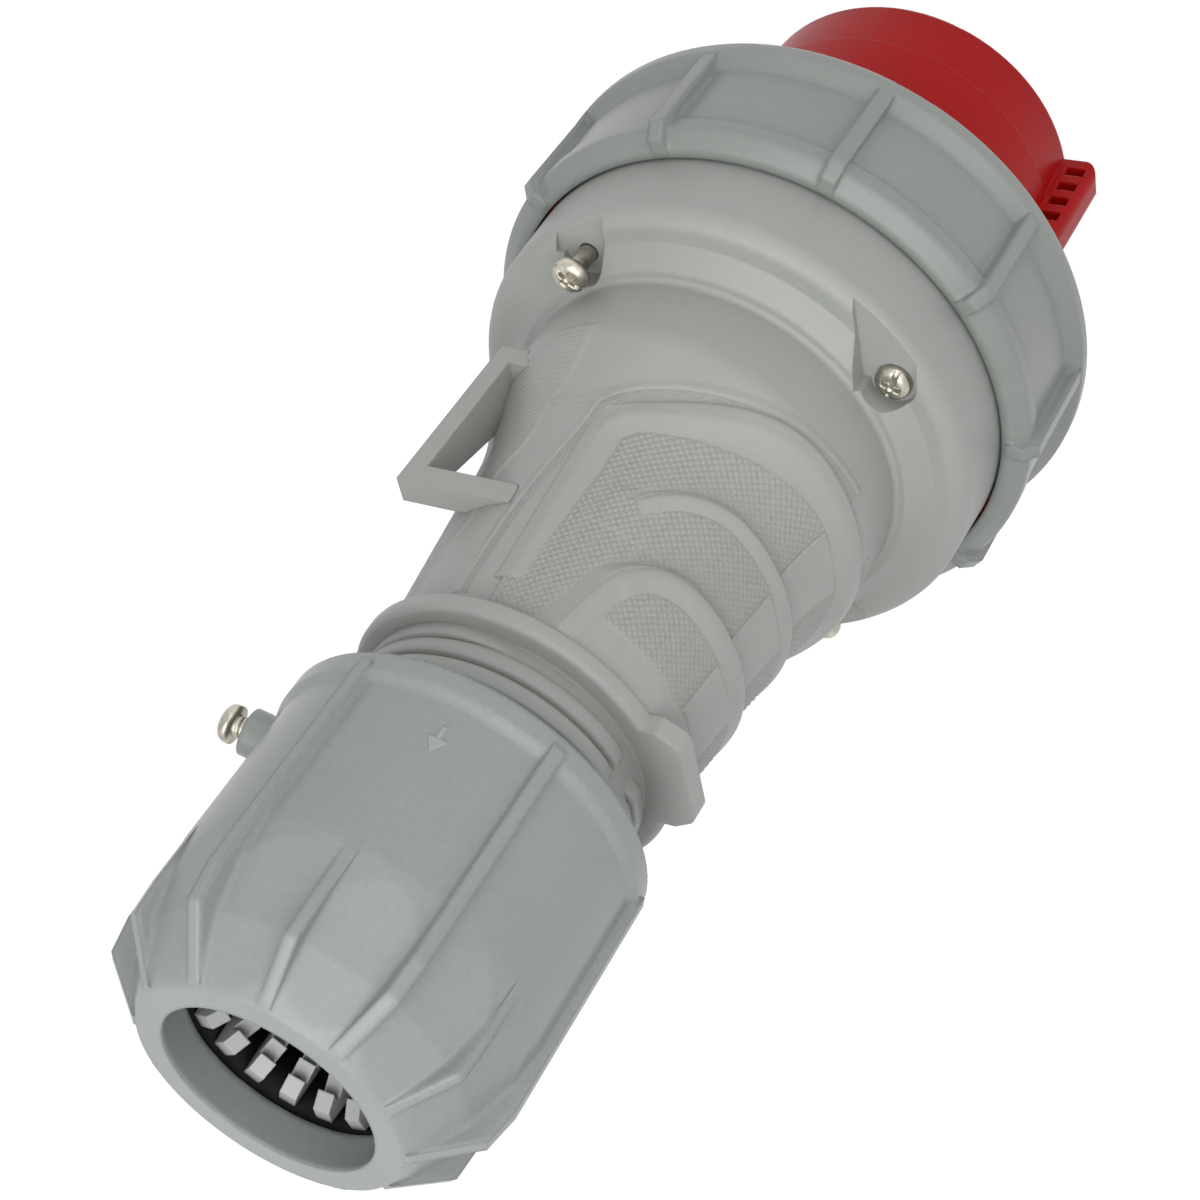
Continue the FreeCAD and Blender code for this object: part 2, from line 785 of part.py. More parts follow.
outside = new_body("housing_outside")
revolve(outside, "housing_outside_turned", [
    (0, flange_rear),
    (band_radius, flange_rear),
    (crease_radius, crease_level),
    (ledge_radius, crease_level),
    (groove_radius, groove_level),
    (shoulder_radius, groove_level),
    (shoulder_radius, shoulder_level),
    (handle_front, handle_start),
    (handle_rear, collar_front),
    (collar_radius, collar_front),
    (collar_radius, collar_rear),
    (neck_radius, collar_rear),
    (neck_radius, neck_end),
    (0, neck_end),
])
round_edges(outside, "band_round", size.band_edge, on_circles((crease_radius, crease_level)))
round_edges(outside, "groove_round", size.groove_edge,
            on_circles((groove_radius, groove_level), (shoulder_radius, groove_level)))
round_edges(outside, "shoulder_round", size.shoulder_edge,
            on_circles((shoulder_radius, shoulder_level)))
round_edges(outside, "flare_round", size.flare_edge,
            on_circles((handle_front, handle_start)))
round_edges(outside, "collar_round", size.collar_edge,
            on_circles((collar_radius, collar_front), (collar_radius, collar_rear)))


def grip_scale(name, profile, start, half_width, corner, bend=None):
    """One shingle: a turned skin, kept on the finger side inside a rounded outline."""
    skin = new_body(name + "_skin")
    revolve(skin, name + "_turned", profile)
    if bend is not None:
        round_edges(skin, name + "_round", size.flare_edge, on_circles(bend))
    mask = new_body(name + "_mask")
    sketch = add_outline(new_sketch(mask, name + "_outline", "XZ_Plane"), [
        (-half_width, start),
        (half_width, start),
        (half_width, collar_front),
        (-half_width, collar_front),
    ])
    pad(mask, name + "_block", sketch, flange_radius)

    def corner_edge(edge):
        middle = edge.BoundBox.Center
        at_side = abs(abs(middle.x) - half_width.number) < 0.01
        return at_side and edge.BoundBox.YLength > 1.0 and abs(middle.z - start.number) < 0.01

    round_edges(mask, name + "_corners", corner, corner_edge)
    feature = doc.addObject("Part::Common", name)
    feature.Base = skin
    feature.Tool = mask
    return feature


scale_one = crease_level + size.scale_one_start
scale_two = crease_level + size.scale_two_start
scale_three = crease_level + size.scale_three_start
rest = size.scale_one_rest
scale_bend = (handle_front + size.scale_one_step / 2, handle_start)
scales = [
    grip_scale("grip_scale_one", [
        (as_size(0), shoulder_level),
        (shoulder_radius + size.scale_one_step, shoulder_level),
        scale_bend,
        (handle_rear + rest, collar_front),
        (as_size(0), collar_front),
    ], scale_one, size.scale_one_half_width, size.scale_one_corner, scale_bend),
    grip_scale("grip_scale_two", [
        (as_size(0), scale_two),
        (handle_at(scale_two) + rest + size.scale_two_step, scale_two),
        (handle_at(scale_three) + rest + size.scale_two_rest, scale_three),
        (as_size(0), scale_three),
    ], scale_two, size.scale_two_half_width, size.scale_two_corner),
    grip_scale("grip_scale_three", [
        (as_size(0), scale_three),
        (handle_at(scale_three) + rest + size.scale_three_step, scale_three),
        (handle_rear + rest + size.scale_three_rest, collar_front),
        (as_size(0), collar_front),
    ], scale_three, size.scale_three_half_width, size.scale_three_corner),
]

tab = new_body("collar_tab")
tab_sketch = add_outline(new_sketch(tab, "tab_section", "XY_Plane", collar_front), [
    (-size.tab_foot_width / 2, -handle_rear + size.handle_wall),
    (size.tab_foot_width / 2, -handle_rear + size.handle_wall),
    (size.tab_foot_width / 2, -collar_radius),
    (size.tab_tip_width / 2, -tab_radius),
    (-size.tab_tip_width / 2, -tab_radius),
    (-size.tab_foot_width / 2, -collar_radius),
])
pad(tab, "tab", tab_sketch, size.collar_thickness)
round_edges(tab, "tab_corners", size.tab_edge, lambda edge: (
    edge.BoundBox.ZLength > 1.0 and abs(edge.BoundBox.Center.y + tab_radius.number) < 0.01))

loop_top = crease_level + size.loop_end
loop_foot = loop_top - size.loop_foot_length
loop_block = new_body("loop_block")
loop_sketch = add_outline(new_sketch(loop_block, "loop_section", "XZ_Plane", -size.loop_root), [
    (loop_side, loop_top),
    (loop_side - size.loop_end_width, loop_top),
    (loop_side - size.loop_foot_width, loop_foot),
    (loop_side, loop_foot),
])
pad(loop_block, "loop_solid", loop_sketch, loop_outside - size.loop_root, backwards=True)
window_top = loop_top - size.loop_leg
window_low = (size.loop_root, as_size(0), window_top - size.loop_window_length)
loop_window = block("loop_window", window_low, (
    loop_side,
    loop_outside - size.loop_arm,
    size.loop_window_length,
))
loop = cut("loop", loop_block, loop_window)

cavity = new_body("housing_cavity")
chamber_end = flange_rear + size.chamber_length
revolve(cavity, "housing_cavity_turned", [
    (0, flange_rear),
    (cavity_radius, flange_rear),
    (cavity_radius, chamber_end),
    (handle_front - size.handle_wall, handle_start),
    (handle_rear - size.handle_wall, collar_front - size.throat_length),
    (throat_radius, collar_front - size.throat_length),
    (throat_radius, seal_seat),
    (neck_bore, seal_seat),
    (neck_bore, neck_end),
    (0, neck_end),
])
gasket_groove = new_body("gasket_groove")
revolve(gasket_groove, "gasket_groove_turned", [
    (groove_inner, flange_rear),
    (groove_outer, flange_rear),
    (groove_outer, groove_floor),
    (groove_inner, groove_floor),
])
# The notches run sideways out of the housing, as the two halves of its mould draw
pocket_radius = size.screw_head_radius + size.notch_pocket_gap
notch_end = rod("notch_end", pocket_radius, size.notch_height, (0, 0, 0))
notch_slot = block("notch_slot", (as_size(0), -pocket_radius, as_size(0)),
                   (screw_circle, pocket_radius + size.notch_side, size.notch_height))
notch_hole = rod("notch_hole", size.screw_radius + size.screw_gap, size.notch_floor,
                 (0, 0, -size.notch_floor.number))
notch = fuse("notch", [notch_end, notch_slot, notch_hole])
notch_places = []
for k in range(int(size.screw_count.number)):
    angle = size.screw_phase.number + screw_step * k
    spot = turned_to(angle, screw_circle.number, notch_level.number).Base
    way = FreeCAD.Rotation(FreeCAD.Vector(0, 0, 1), 0 if spot.x > 0 else 180)
    notch_places.append(FreeCAD.Placement(spot, way))
notches = copies("notches", notch, notch_places)
solid_housing = fuse("solid_housing", [outside] + scales + [tab])
# The loop is moulded in one with the housing and stands in a solid of its own
housing_loop = cut("housing_loop", loop, solid_housing)
hollow_housing = cut("hollow_housing", solid_housing, cavity)
grooved_housing = cut("grooved_housing", hollow_housing, gasket_groove)
rear_housing = cut("rear_housing", grooved_housing, notches)


# Coupling ring: bayonet ramps in front, snap lugs and rear lip that hold it on the flange

ring = new_body("coupling_ring")
rear_band = ring_rear - size.ring_rear_band
revolve(ring, "ring_turned", [
    (ring_inner, ring_front),
    (ring_crest, ring_front),
    (ring_crest, ring_front + size.ring_front_lip),
    (ring_panel, ring_front + size.ring_front_lip + size.ring_front_bevel),
    (ring_panel, rear_band),
    (ring_panel + size.ring_rear_rise, rear_band + size.ring_rear_rise),
    (ring_panel + size.ring_rear_rise, ring_rear - size.ring_rear_drop),
    (ring_panel - size.ring_rear_drop, ring_rear),
    (ring_bore, ring_rear),
    (ring_bore, lip_front),
    (ring_inner, lip_front),
])
round_edges(ring, "ring_edges", size.ring_edge, on_circles(
    (ring_crest, ring_front),
    (ring_panel + size.ring_rear_rise, ring_rear - size.ring_rear_drop),
    (ring_panel - size.ring_rear_drop, ring_rear),
))
rib_top = ring_crest - size.ring_rear_rise / 4
rib_foot = ring_panel - size.ring_wall / 2
rib_end = ring_rear + size.ring_rear_rise / 2
rib_sketch = add_outline(new_sketch(ring, "ring_rib_section", "XZ_Plane"), [
    (rib_foot, ring_front + size.ring_front_lip / 2),
    (rib_top, ring_front + size.ring_front_lip / 2),
    (rib_top, ring_rear - size.ring_rear_drop),
    (rib_top - size.ring_rear_drop, rib_end),
    (rib_foot - size.ring_rear_drop, rib_end),
    (rib_foot - size.ring_rear_drop, ring_rear - size.ring_rear_drop / 2),
    (rib_foot, ring_rear - size.ring_rear_drop),
])
ring_rib = pad(ring, "ring_rib", rib_sketch, size.ring_rib_width, symmetric=True)
ring_of(ring, "ring_ribs", [ring_rib], size.ring_rib_count)
ramp_front = ring_front + size.ramp_setback
ramp = revolve(ring, "bayonet_ramp", [
    (ring_inner - size.ramp_height, ramp_front),
    (ring_inner + size.ring_wall / 2, ramp_front),
    (ring_inner + size.ring_wall / 2, ramp_front + size.ramp_length),
    (ring_inner - size.ramp_height, ramp_front + size.ramp_length),
], size.ramp_angle)
ring_of(ring, "bayonet_ramps", [ramp], size.ramp_count)
snap_end = flange_front - size.ring_play
snap = revolve(ring, "snap_lug", [
    (ring_inner - size.snap_height, snap_end - size.snap_length),
    (ring_inner + size.ring_wall / 2, snap_end - size.snap_length),
    (ring_inner + size.ring_wall / 2, snap_end),
    (ring_inner - size.snap_height, snap_end),
], size.snap_angle)
ring_of(ring, "snap_lugs", [snap], size.snap_count)
ring.Placement = turned_to(size.ring_phase.number)


# Gland nut: rim, panels, faceted cone and mouth lip, with long and short ribs


def about_axis(angle):
    """Offset that turns an upright section about the axis."""
    turn = FreeCAD.Rotation(FreeCAD.Vector(0, 1, 0), angle)
    return FreeCAD.Placement(FreeCAD.Vector(), turn)


nut = new_body("nut_body")
knee = nut_top - size.nut_knee_length
facet = nut_top - size.nut_facet_length
rim_end = nut_front + size.nut_rim_length
revolve(nut, "nut_turned", [
    (nut_bore, nut_front),
    (nut_panel + size.nut_rim_step, nut_front),
    (nut_panel + size.nut_rim_step, rim_end),
    (nut_panel, rim_end + size.nut_rim_bevel),
    (nut_panel, facet),
    (nut_panel - size.nut_knee_drop / 2, knee),
    (mouth_rim, nut_top),
    (nut_mouth, nut_top),
    (nut_mouth, lip_floor),
    (cone_top_radius, lip_floor),
    (nut_bore, cone_foot),
])
short_turn = 180.0 / size.nut_rib_count.number
flat_sketch = add_outline(new_sketch(nut, "nut_flat_section", "XZ_Plane"), [
    (nut_panel + size.nut_flat_fade, facet),
    (nut_panel - size.nut_knee_drop, knee),
    (mouth_rim + size.nut_flat_fade, nut_top),
    (nut_crest, nut_top),
    (nut_crest, facet),
])
flat_sketch.AttachmentOffset = about_axis(short_turn / 2)
nut_flat = pocket(nut, "nut_flat", flat_sketch, nut_panel, symmetric=True)
ring_of(nut, "nut_flats", [nut_flat], size.nut_rib_count * 2)
rib_inner = nut_panel - size.nut_wall / 3
rib_knee = nut_top - size.nut_rib_knee
knee_radius = nut_crest - size.nut_rib_drop
long_sketch = add_outline(new_sketch(nut, "long_rib_section", "XZ_Plane"), [
    (rib_inner, rim_end - size.nut_rim_bevel),
    (nut_crest, rim_end - size.nut_rim_bevel),
    (nut_crest, rib_knee),
    (knee_radius, knee + size.nut_rib_height),
    (mouth_rim + size.nut_rib_height / 2, nut_top - size.nut_rib_height / 4),
    (mouth_rim - size.nut_rib_height, nut_top - size.nut_rib_height / 4),
    (mouth_rim - size.nut_rib_height, nut_top - size.nut_rib_height),
    (rib_inner, facet),
])
long_rib = pad(nut, "long_rib", long_sketch, size.nut_rib_width, symmetric=True)
ring_of(nut, "long_ribs", [long_rib], size.nut_rib_count)
short_sketch = add_outline(new_sketch(nut, "short_rib_section", "XZ_Plane"), [
    (rib_inner, facet),
    (nut_panel, facet),
    (nut_panel, rib_knee),
    (knee_radius - size.nut_rib_height / 2, knee + size.nut_rib_height),
    (mouth_rim + size.nut_rib_height / 2, nut_top - size.nut_rib_height / 4),
    (mouth_rim - size.nut_rib_height, nut_top - size.nut_rib_height / 4),
    (mouth_rim - size.nut_rib_height, nut_top - size.nut_rib_height),
])
short_sketch.AttachmentOffset = about_axis(short_turn)
short_rib = pad(nut, "short_rib", short_sketch, size.nut_short_rib_width, symmetric=True)
ring_of(nut, "short_ribs", [short_rib], size.nut_rib_count)
nut.Placement = turned_to(size.nut_phase.number)

lock_level = nut_front + size.lock_height
lock_way = FreeCAD.Rotation(FreeCAD.Vector(0, 0, 1), size.lock_angle.number)
lock_axis = lock_way.multVec(FreeCAD.Vector(1, 0, 0))


def lock_point(radius):
    return tuple(lock_axis * radius.number + FreeCAD.Vector(0, 0, lock_level.number))


boss_start = nut_bore + size.nut_wall / 2
boss_top = nut_panel + size.lock_boss_height
lock_boss = rod("lock_boss", size.lock_boss_radius, boss_top - boss_start,
                lock_point(boss_start), tuple(lock_axis))
lock_hole = rod("lock_hole", size.lock_shank_radius + size.thread_gap, boss_top,
                tuple(FreeCAD.Vector(0, 0, lock_level.number)), tuple(lock_axis))
bossed_nut = fuse("bossed_nut", [nut, lock_boss])
gland_nut = cut("gland_nut", bossed_nut, lock_hole)
lock_screw = screw("nut_lock_screw", size.lock_head_radius, size.lock_head_height,
                   size.lock_shank_radius, size.lock_shank_length, size.lock_head_height / 2)
lean = FreeCAD.Rotation(FreeCAD.Vector(0, 0, 1), lock_axis)
lock_seat = FreeCAD.Vector(*lock_point(boss_top + size.lock_backed_out))
lock_screw.Placement = FreeCAD.Placement(lock_seat, lean)


# Clamping cage: ring in the neck bore and toothed fingers under the cone of the nut

cage = new_body("clamping_cage")
cage_outer = neck_bore - size.cage_gap
cage_inner = cage_outer - size.cage_ring_wall
cage_foot = neck_end - size.cage_depth
cage_ring_top = cage_foot + size.cage_ring_height
revolve(cage, "cage_ring", [
    (cage_inner, cage_foot),
    (cage_outer, cage_foot),
    (cage_outer, cage_ring_top),
    (cage_inner, cage_ring_top),
])
finger_top = nut_top - size.cage_setback
cone_slope = (nut_bore - cone_top_radius) / size.nut_cone_length
finger_back = cone_top_radius + cone_slope * (lip_floor - finger_top) - size.finger_gap
tooth_root = size.finger_tip_radius + size.finger_tooth_depth
profile = [
    (cage_outer - size.cage_gap, cage_ring_top - size.cage_gap),
    (finger_back, finger_top),
]
for k in range(3):
    level = finger_top - size.finger_tooth_pitch * k
    tip_level = level - size.finger_tooth_pitch + size.finger_tooth_land
    profile.append((tooth_root, level))
    profile.append((size.finger_tip_radius, tip_level))
    profile.append((tooth_root, tip_level - size.finger_tooth_land / 2))
profile.append((cage_inner, cage_ring_top - size.cage_gap))
finger_sketch = add_outline(new_sketch(cage, "finger_section", "XZ_Plane"), profile)
finger = pad(cage, "finger", finger_sketch, size.finger_width, symmetric=True)
ring_of(cage, "fingers", [finger], size.finger_count)
cage.Placement = turned_to(size.finger_phase.number)


# Cable seal and thrust washer at the bottom of the neck bore

seal_top = seal_seat + size.seal_length
seal = new_body("gland_seal")
revolve(seal, "seal_turned", [
    (size.seal_inner_radius, seal_seat),
    (neck_bore - size.seal_gap, seal_seat),
    (neck_bore - size.seal_gap, seal_top),
    (size.seal_inner_radius, seal_top),
])
washer = new_body("gland_washer")
revolve(washer, "washer_turned", [
    (size.seal_inner_radius, seal_top),
    (neck_bore - size.seal_gap, seal_top),
    (neck_bore - size.seal_gap, seal_top + size.washer_thickness),
    (size.seal_inner_radius, seal_top + size.washer_thickness),
])


# Check and write every piece

doc.recompute()
for item in doc.Objects:
    if "Invalid" in item.State or "Error" in item.State:
        raise RuntimeError("failed: " + item.Name)

pieces = [
    rear_housing,
    housing_loop,
    ring,
    carrier,
    gland_nut,
    cage,
    seal,
    washer,
    lock_screw,
    housing_screws,
    terminal_screws,
    retainer,
    retainer_screws,
    face_gasket,
    housing_gasket,
] + contacts
os.makedirs("parts", exist_ok=True)
for piece in pieces:
    shape = piece.Shape
    if shape.isNull() or not shape.isValid() or not shape.Solids:
        raise RuntimeError("bad shape: " + piece.Label)
    print(piece.Label, len(shape.Solids), round(shape.Volume / 1000.0, 2), "cm3")
for piece in pieces:
    piece.Shape.exportStep(os.path.join("parts", piece.Label + ".step"))
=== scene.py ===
"""Looks of an industrial power plug, laid out as an add-on and run as a script."""

import math

import bmesh
import bpy
import numpy as np
from mathutils import Matrix, Vector


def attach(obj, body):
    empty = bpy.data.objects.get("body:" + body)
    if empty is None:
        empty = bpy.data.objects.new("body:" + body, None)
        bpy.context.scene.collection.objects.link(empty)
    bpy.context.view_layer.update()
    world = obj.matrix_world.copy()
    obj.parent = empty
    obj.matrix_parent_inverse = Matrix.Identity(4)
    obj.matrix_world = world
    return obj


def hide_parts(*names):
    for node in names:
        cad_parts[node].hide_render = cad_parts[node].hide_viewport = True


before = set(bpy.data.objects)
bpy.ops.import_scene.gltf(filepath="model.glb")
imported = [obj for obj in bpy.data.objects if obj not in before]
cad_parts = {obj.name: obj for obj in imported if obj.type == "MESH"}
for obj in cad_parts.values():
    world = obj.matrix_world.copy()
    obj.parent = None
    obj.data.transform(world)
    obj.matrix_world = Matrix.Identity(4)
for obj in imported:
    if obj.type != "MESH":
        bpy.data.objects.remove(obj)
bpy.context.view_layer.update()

bl_info = {
    "name": "Industrial power plug",
    "version": (1, 0, 0),
    "blender": (4, 5, 0),
    "location": "View3D > Sidebar > Plug",
    "description": "Dresses the packed plug with its finishes, grip texture, thread and stage",
    "category": "Object",
}

MM = 0.001
WHITE = (1.0, 1.0, 1.0, 1.0)
# Arcs on the handle are measured at this radius, in millimetres
SPREAD = 32.0
# Width of one degree round the handle, in millimetres
DEGREE = 0.56
# Share of the arc in the slant of the knurl's lines
SLANT = 0.92


# User settings


def grey(name, text, value):
    """Colour property with a name, a description and a linear default."""
    return bpy.props.FloatVectorProperty(name=name, description=text, default=value, size=3,
                                         min=0.0, max=1.0, subtype="COLOR")


def length(name, text, value):
    """Length property in metres."""
    return bpy.props.FloatProperty(name=name, description=text, default=value, min=0.0,
                                   subtype="DISTANCE", unit="LENGTH")


def power(name, text, value):
    """Power property of a lamp in watts."""
    return bpy.props.FloatProperty(name=name, description=text, default=value, min=0.0,
                                   subtype="POWER", unit="POWER")


class PlugFinish(bpy.types.PropertyGroup):
    """Colours of the plug's materials."""

    housing: grey("Housing", "Matte moulded housing", (0.345, 0.358, 0.338))
    ring: grey("Ring", "Satin coupling ring", (0.255, 0.273, 0.256))
    gland: grey("Gland nut", "Satin gland nut", (0.292, 0.315, 0.300))
    cage: grey("Clamping fingers", "Pale clamping fingers", (0.430, 0.445, 0.440))
    nose: grey("Nose", "Red nose with the keyway", (0.420, 0.006, 0.007))
    # The rubber's colour also darkens the liner in the gland nut, which paints shade in its mouth
    rubber: grey("Rubber", "Gaskets and cable seal", (0.007, 0.007, 0.0075))
    insert: grey("Insert", "Black retainer plate", (0.018, 0.018, 0.019))
    zinc: grey("Zinc", "Yellowish zinc on the screws", (0.560, 0.525, 0.445))
    steel: grey("Steel", "Terminal screws", (0.560, 0.560, 0.550))
    brass: grey("Brass", "Contact pins", (0.700, 0.520, 0.230))


class PlugSizes(bpy.types.PropertyGroup):
    """Sizes of the surface details."""

    knurl_pitch: length("Knurl pitch", "Distance between the knurl's lines", 1.45 * MM)
    knurl_height: length("Knurl height", "Height of the knurl's pyramids", 0.46 * MM)
    grid_step: length("Grid step", "Mesh step of the grip texture", 0.29 * MM)
    dot_pitch: length("Dot pitch", "Distance between the dots beside the grip", 0.95 * MM)
    rib_pitch: length("Fine rib pitch", "Distance between the fine ribs on the back", 0.98 * MM)
    thread_pitch: length("Thread pitch", "Rise of the neck thread in one turn", 4.0 * MM)
    thread_crest: length("Thread crest", "Radius of the neck thread's crest", 27.1 * MM)


class PlugStage(bpy.types.PropertyGroup):
    """Camera and light."""

    lens: bpy.props.FloatProperty(name="Lens", description="Focal length in millimetres",
                                  default=73.056, min=1.0)
    top_power: power("Top light", "Power of the large lamp overhead", 5.4)
    front_power: power("Front light", "Power of the lamp by the camera", 1.35)
    strip_power: power("Strip light", "Power of the narrow lamp aside", 0.3)
    sky: bpy.props.FloatProperty(name="Sky", description="Strength of the even light all round",
                                 default=0.36, min=0.0)


def finish_of(context):
    return context.scene.plug_finish


def sizes_of(context):
    return context.scene.plug_sizes


# Shader maths


class Value:
    """A shader socket that can be used in Python expressions; each operator adds a Math node."""

    def __init__(self, finish, socket):
        self.finish = finish
        self.socket = socket

    def math(self, operation, *others):
        return self.finish.make("Math", {"operation": operation}, [self, *others])

    def __add__(self, other):
        return self.math("ADD", other)

    def __sub__(self, other):
        return self.math("SUBTRACT", other)

    def __rsub__(self, other):
        return self.finish.make("Math", {"operation": "SUBTRACT"}, [other, self])

    def __mul__(self, other):
        return self.math("MULTIPLY", other)

    __radd__ = __add__

    def smooth(self, low, high):
        """Zero below low, one above high, a soft step between."""
        return self.finish.make("MapRange", {"interpolation_type": "SMOOTHSTEP"},
                                {"Value": self, "From Min": low, "From Max": high})


class Finish:
    """A material with one principled shader, built from expressions."""

    def __init__(self, name):
        self.material = bpy.data.materials.new(name)
        self.material.use_nodes = True
        self.tree = self.material.node_tree
        self.tree.nodes.clear()
        self.out = self.tree.nodes.new("ShaderNodeOutputMaterial")
        self.shader = self.tree.nodes.new("ShaderNodeBsdfPrincipled")
        self.tree.links.new(self.shader.outputs["BSDF"], self.out.inputs["Surface"])

    def make(self, kind, settings=None, inputs=None, output=0):
        """Any node: its settings first, then the values or links of its sockets."""
        node = self.tree.nodes.new("ShaderNode" + kind)
        for key, value in (settings or {}).items():
            setattr(node, key, value)
        pairs = inputs.items() if isinstance(inputs, dict) else enumerate(inputs or [])
        for key, value in pairs:
            self.put(node.inputs[key], value)
        return Value(self, node.outputs[output])

    def put(self, socket, value):
        if isinstance(value, Value):
            self.tree.links.new(value.socket, socket)
        else:
            socket.default_value = value

    def set(self, **sockets):
        """Sets the principled shader's sockets, named with _ for a space."""
        for key, value in sockets.items():
            self.put(self.shader.inputs[key.replace("_", " ")], value)
        return self

    def place(self):
        return self.make("TexCoord", output="Object")

    def noise(self, grain, detail=2.0, rough=0.5):
        """Noise from 0 to 1 whose lumps are about grain metres wide."""
        return self.make("TexNoise", None, {"Vector": self.place(), "Scale": 1.0 / grain,
                                            "Detail": detail, "Roughness": rough})

    def mix(self, factor, low, high):
        """Colour between low and high."""
        return self.make("Mix", {"data_type": "RGBA"}, {0: factor, 6: low, 7: high}, output=2)

    def rounded(self, radius):
        """Normal that rounds sharp edges off by radius."""
        return self.make("Bevel", {"samples": 6}, {"Radius": radius})

    def rub(self, rounded):
        """About 1 on sharp edges and 0 on open faces."""
        facing = self.make("NewGeometry", output="Normal")
        along = self.make("VectorMath", {"operation": "DOT_PRODUCT"}, [rounded, facing], output="Value")
        return (1.0 - along).smooth(0.004, 0.10)

    def bump(self, height, distance, strength=1.0, normal=None):
        inputs = {"Height": height, "Distance": distance, "Strength": strength}
        if normal is not None:
            inputs["Normal"] = normal
        return self.make("Bump", None, inputs)


def tone(colour, factor):
    """Opaque colour, lighter or darker by a factor."""
    return tuple(min(1.0, c * factor) for c in colour) + (1.0,)


def groove_shade(made, pitch):
    """About 1 in the grooves of the knurl, whose lines slant both ways round the handle; it masks the shade
    painted there.
    """
    x, y, z = (made.make("SeparateXYZ", None, [made.place()], output=k) for k in range(3))
    arc = x.math("ARCTAN2", y * -1.0).math("ABSOLUTE") * (SLANT * SPREAD * MM)
    one = ((arc + z) * (1.0 / pitch)).math("PINGPONG", 0.5)
    other = ((arc - z) * (1.0 / pitch)).math("PINGPONG", 0.5)
    groove_width = 0.17
    return 1.0 - one.math("MINIMUM", other).smooth(0.0, groove_width)


# Shares of the moulded plastic's layers in its colour
GRAIN_SHARE = 0.45
RUB_SHARE = 0.45
# Share of the painted shade in the grooves between the knurl's lines and the dots
GROOVE_SHADE_SHARE = 0.24


def moulded(name, colour, rough, grain, depth, edge, shine=0.5, knurl=None):
    """Moulded plastic: fine spark-eroded grain, faint flow clouds and paler rubbed edges.

    With a knurl pitch the grooves between its lines are darker: painted shade.
    """
    made = Finish(name)
    cloud = made.noise(24.0 * MM, detail=3.0)
    speck = made.noise(grain, detail=2.0, rough=0.6)
    clouded = made.mix(cloud.smooth(0.3, 0.7), tone(colour, 0.955), tone(colour, 1.04))
    grained = made.mix(speck.smooth(0.25, 0.75), tone(colour, 0.93), tone(colour, 1.06))
    body = made.mix(GRAIN_SHARE, clouded, grained)
    soft = made.rounded(edge)
    worn = made.rub(soft)
    body = made.mix(worn * RUB_SHARE, body, tone(colour, 1.22))
    # Painted shade: the grooves between the knurl's lines are darkened
    if knurl:
        body = made.mix(groove_shade(made, knurl) * GROOVE_SHADE_SHARE, body, tone(colour, 0.5))
    made.set(Base_Color=body, Roughness=rough + (speck - 0.5) * 0.10 - worn * 0.05,
             Normal=made.bump(speck, depth, strength=0.5, normal=soft), Specular_IOR_Level=shine)
    return made.material


def rubber(name, colour):
    """Soft rubber with a dusty bloom."""
    made = Finish(name)
    bloom = made.noise(6.0 * MM, detail=4.0, rough=0.6)
    fine = made.noise(0.5 * MM)
    made.set(Base_Color=made.mix(bloom.smooth(0.35, 0.75), tone(colour, 0.8), tone(colour, 2.0)),
             Roughness=0.62 + bloom * 0.15, Specular_IOR_Level=0.25,
             Normal=made.bump(fine, 0.04 * MM, strength=0.5))
    return made.material


def metal(name, colour, rough, dull):
    """Plated metal with a clouded plating, dull spots and fine roughness."""
    made = Finish(name)
    cloud = made.noise(2.2 * MM, detail=4.0, rough=0.6)
    fine = made.noise(0.25 * MM, detail=3.0, rough=0.65)
    soft = made.rounded(0.18 * MM)
    plated = made.mix(cloud.smooth(0.3, 0.75), tone(colour, dull), tone(colour, 1.08))
    made.set(Base_Color=plated, Metallic=1.0, Roughness=rough + cloud * 0.16 + fine * 0.06,
             Normal=made.bump(fine, 0.02 * MM, strength=0.4, normal=soft))
    return made.material


def dress(material, *nodes):
    """Gives CAD nodes their material in every slot."""
    for node in nodes:
        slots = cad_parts[node].data.materials
        slots.clear()
        slots.append(material)


# Surfaces, in millimetres

# Points closer than this, in metres, become one
MEET = 1e-7
# Sheets go this far under the surface where they don't show
SUNK = 0.4
# Faces of a sheet that lie deeper than this with all their points are left out
HIDDEN = 0.25
# Thickness of the sheets, and how far their lowest places stand over the surface
SHEET = 0.5
SKIN = 0.01
KNURL_SKIN = 0.02


def arced(corners, radii, steps=24):
    """Profile of (radius, level) corners whose inner corners are rounded.

    Each inner corner is replaced by the circle arc that touches both its sides.
    """
    corners = [np.array(corner, float) for corner in corners]
    points = [corners[0]]
    for before, at, after, radius in zip(corners, corners[1:], corners[2:], radii):
        back = (before - at) / np.linalg.norm(before - at)
        ahead = (after - at) / np.linalg.norm(after - at)
        half = math.acos(float(np.clip(back @ ahead, -1.0, 1.0))) / 2.0
        reach = radius / math.tan(half)
        middle = at + (back + ahead) / np.linalg.norm(back + ahead) * radius / math.sin(half)
        turn = np.linspace(0.0, 1.0, steps)[:, None]
        spread = (at + back * reach - middle) * (1.0 - turn) + (at + ahead * reach - middle) * turn
        spread = middle + spread / np.linalg.norm(spread, axis=1)[:, None] * radius
        points.extend(spread)
    points.append(corners[-1])
    return np.array(points)


def radius_on(profile, level):
    """Radius of a profile at the given levels."""
    return np.interp(level, profile[:, 1], profile[:, 0])


def grid_faces(rows, columns, wrap_rows=False, wrap_columns=False):
    """Quads of a grid of rows by columns points, with outward normals for r(angle, level)."""
    row = np.arange(rows if wrap_rows else rows - 1)
    column = np.arange(columns if wrap_columns else columns - 1)
    i, j = np.meshgrid(row, column, indexing="ij")
    i, j = i.ravel(), j.ravel()
    up, on = (i + 1) % rows, (j + 1) % columns
    return np.stack([i * columns + j, i * columns + on, up * columns + on, up * columns + j], 1)


